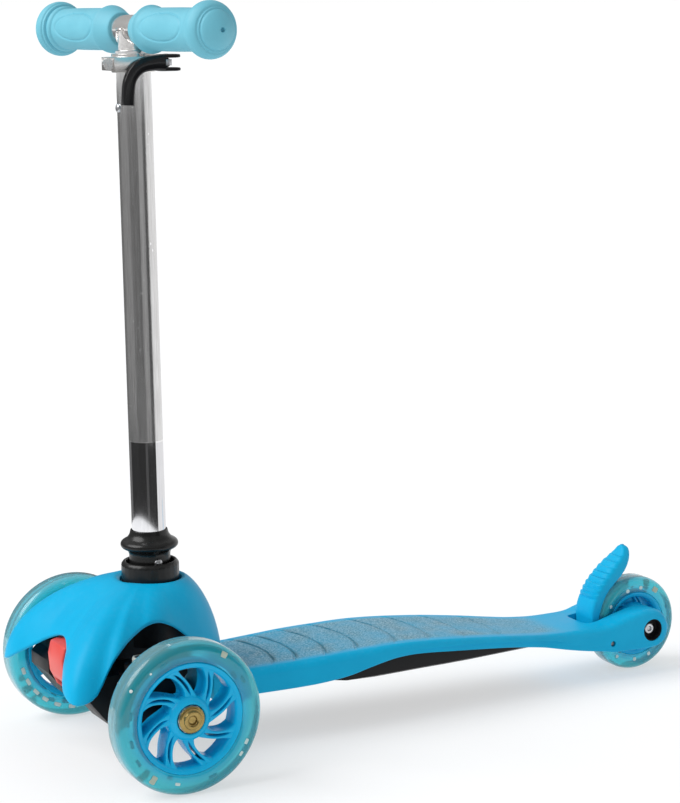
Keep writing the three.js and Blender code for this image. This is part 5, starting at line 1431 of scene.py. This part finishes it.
# %% Pedal lines
# Height over the axle, then the way ahead of it or the half width, all in mm
front_rows = np.array([
    (-12.0, 45.0), (-8.0, 47.0), (0.0, 48.6), (6.0, 49.2), (13.0, 50.3), (19.8, 49.6), (26.3, 47.8),
    (31.9, 45.6), (37.2, 42.6), (41.7, 39.3), (47.7, 33.8), (53.8, 27.6), (57.8, 22.6), (61.3, 18.0),
    (64.4, 14.6), (67.0, 12.6), (69.5, 11.2), (71.0, 10.2),
])
back_rows = np.array([
    (-12.0, 39.5), (-8.0, 38.6), (0.0, 42.8), (6.0, 43.6), (13.0, 42.8), (22.7, 37.8), (31.2, 31.1),
    (39.0, 23.1), (46.2, 14.6), (52.5, 9.4), (59.6, 6.0), (66.0, 4.6), (69.5, 5.4), (71.0, 7.4),
])
width_rows = np.array([
    (-12.0, 13.5), (39.0, 13.5), (51.0, 12.7), (60.0, 10.4), (66.5, 6.9), (69.6, 4.2), (71.0, 1.2),
])
teeth, tooth_start, tooth_pitch, tooth_depth = 8, 27.5, 4.4, 2.0
tooth_steps = np.array([0.04, 0.3, 0.6, 0.86, 0.95, 1.0])
tip_steps = np.array([1.0, 2.4, 3.8, 5.2, 6.4, 7.3, 7.9, 8.3, 8.5])
levels = np.concatenate([np.linspace(-12, tooth_start, 20)]
                        + [tooth_start + tooth_pitch * (k + tooth_steps) for k in range(teeth)]
                        + [tooth_start + tooth_pitch * teeth + tip_steps])
phase = (levels - tooth_start) / tooth_pitch
tooth = np.where((phase > 0) & (phase < teeth), np.interp(phase % 1.0, [0, 0.85, 0.97, 1], [0, 1, 0.1, 0]), 0)
front_line = flow(front_rows[:, 0], front_rows[:, 1:], levels)[:, 0]
front_line = front_line + tooth_depth * (tooth - 0.5) * (tooth > 0)
back_line = flow(back_rows[:, 0], back_rows[:, 1:], levels)[:, 0]
half_width = np.where(levels > width_rows[1, 0], flow(width_rows[:, 0], width_rows[:, 1:], levels)[:, 0],
                      width_rows[0, 1])
print("pedal rows", len(levels))

# %% [markdown]
# Level sections, each a rounded rectangle between the front and the back line, are
# stacked from the pivot to the tip. The leg has thin cheeks beside the tyre, and two
# bosses take the pins.

# %% Brake pedal
pedal_power, pedal_columns, cheek_depth = 0.58, 48, 3.4
turn = np.linspace(0, 2 * np.pi, pedal_columns, endpoint=False)
squashed_cos, squashed_sin = squashed(np.cos(turn), pedal_power), squashed(np.sin(turn), pedal_power)
centre_line, half_deep = (front_line + back_line) / 2, (front_line - back_line) / 2
pedal_x = centre_line[:, None] + half_deep[:, None] * squashed_cos[None]
pedal_y = half_width[:, None] * squashed_sin[None]
cheek = np.clip((np.abs(squashed_sin) - 0.76) / 0.12, 0, 1) * (np.cos(turn) < 0)
beside_tyre = smooth_step(levels, -11, -7) * (1 - smooth_step(levels, 14, 36))
pedal_x = pedal_x - cheek_depth * cheek[None] * beside_tyre[:, None]
pedal_z = levels[:, None] * np.ones_like(pedal_x)
pedal_grid = rear_point + np.stack([pedal_x, pedal_y, pedal_z], -1) * MM
boss_profile = rounded([(2.5, 12.6), (5.0, 12.6), (5.0, 15.2), (2.5, 15.2)], 0.4)
bosses = [lathe(boss_profile, pedal_pivot, (0, side, 0), 32) for side in (1.0, -1.0)]
pedal = solid_object("brake_pedal_moulded", together(surface(pedal_grid), *bosses), 55)
dressed(pedal, "brake_pedal", body_blue)
print("pedal", len(pedal.data.polygons), "faces")

# %% [markdown]
# The rest is turned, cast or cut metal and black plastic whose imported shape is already
# right. Those parts are copied, their edges rounded, and given their finish. The tray's
# front is also cut to a slope that follows the deck's underside.

# %% Frame and tray
for node in ("axle_beam", "knuckle_left", "knuckle_right"):
    softened(node, frame_black, 1.0)
softened("steering_head", frame_black, 0.9)
softened("head_cap", head_red, 1.6, 4)
tray = softened("underframe", frame_black, 0.8)
trim_end = 205
trim_rows = np.linspace(deck_front + 4, trim_end, 16)
trim_low = deck_at(trim_rows)[2] + np.interp(trim_rows, [60, 155, trim_end], [0.8, 0.8, -14])
trim_x = front_axle_x - trim_rows
slope, ground = np.column_stack([trim_x, trim_low]), np.column_stack([trim_x, 0 * trim_low])
trim_side = np.concatenate([slope, ground[::-1]])
trim = np.stack([np.column_stack([trim_side[:, 0], np.full(len(trim_side), side), trim_side[:, 1]])
                 for side in (-60.0, 60.0)]) * MM
cut_by(tray, [cutter("tray_trim", surface(trim))])
shade(tray, 40)
print("tray", len(tray.data.polygons), "faces")

# %% [markdown]
# Kingpins, nuts, the tie rod and the bearings are zinc plated, and the kingpins' nuts are
# off-white. The brake's pins are turned, with a shallow chamfered end, and made of a dark
# metal that paints the shade of the holes they sit in.

# %% Fittings
for node in ("kingpin_left", "kingpin_right", "tie_rod", "tie_rod_pin_left", "tie_rod_pin_right", "lean_bolt",
             "lean_nut", "rear_axle_nut"):
    softened(node, zinc, 0.35)
for node, side in (("brake_pin_left", 1.0), ("brake_pin_right", -1.0)):
    low, high = span(node)
    first, last = sorted((abs(low[1]) / MM, abs(high[1]) / MM))
    profile = rounded([(0, first), (2.2, first), (2.2, last - 1.6), (1.5, last - 1.2), (0, last - 1.2)], 0.3,
                      closed=False)
    turned_piece(f"{node}_turned", node, profile, middle(node) * [1, 0, 1], (0, side, 0), 24, shaded_pin_steel,
                 closed=False)
for node in ("kingpin_nut_left", "kingpin_nut_right"):
    softened(node, nut_white, 0.5)
softened("lean_bush", bush_black, 0.4)
for node in nodes:
    if node.endswith(("bearing", "spacer")):
        softened(node, zinc, 0.3, 2)

# %% [markdown]
# The pedal's spring is a thin wire: a short leg, two turns round the pin and another leg.

# %% Brake spring
spring_low, spring_high = span("brake_spring")
wire, coil, legs, coils = 0.35, 3.6, 5.6, 2
wind = np.linspace(0, 1, 65)
across_coils = (spring_high[1] - spring_low[1]) / MM - 2 * wire
line = np.stack([coil * np.cos(2 * np.pi * coils * wind), across_coils * (wind - 0.5),
                 coil * np.sin(2 * np.pi * coils * wind)], 1)
line = np.concatenate([[line[0] + [0, 0, -legs]], line, [line[-1] + [0, 0, legs]]])
centre = np.array([pedal_pivot[0], middle("brake_spring")[1], pedal_pivot[2]])
ahead = np.gradient(line, axis=0)
ahead /= np.linalg.norm(ahead, axis=1, keepdims=True)
side_way = np.cross(ahead, [0, 1.0, 0])
side_way /= np.linalg.norm(side_way, axis=1, keepdims=True)
third = np.cross(ahead, side_way)
turn = np.linspace(0, 2 * np.pi, 10, endpoint=False)
coil_grid = line[:, None] + wire * (np.cos(turn)[None, :, None] * side_way[:, None]
                                    + np.sin(turn)[None, :, None] * third[:, None])
spring = solid_object("brake_spring_wound", surface(centre + coil_grid * MM), 50)
dressed(spring, "brake_spring", zinc)
print("spring", round(across_coils, 2), "mm wide over", coils, "turns")

# %% [markdown]
# The floor is matt and pale. It glows of its own, as a lit table does, so it reads as
# white and the shadows stay pale.

# %% Floor material
floor_white, tree, shader = fresh("floor_white")
tone = placed(tree, mottle_group, Scale=3.0)
tree.links.new(mixed(tree, tone, (0.46, 0.465, 0.47), (0.47, 0.475, 0.48)), shader.inputs["Base Color"])
shader.inputs["Roughness"].default_value = 0.9
shader.inputs["Specular IOR Level"].default_value = 0.0
shader.inputs["Emission Color"].default_value = (0.53, 0.53, 0.53, 1)
shader.inputs["Emission Strength"].default_value = 1.0
floor.data.materials.append(floor_white)
print("materials in all", len(bpy.data.materials))
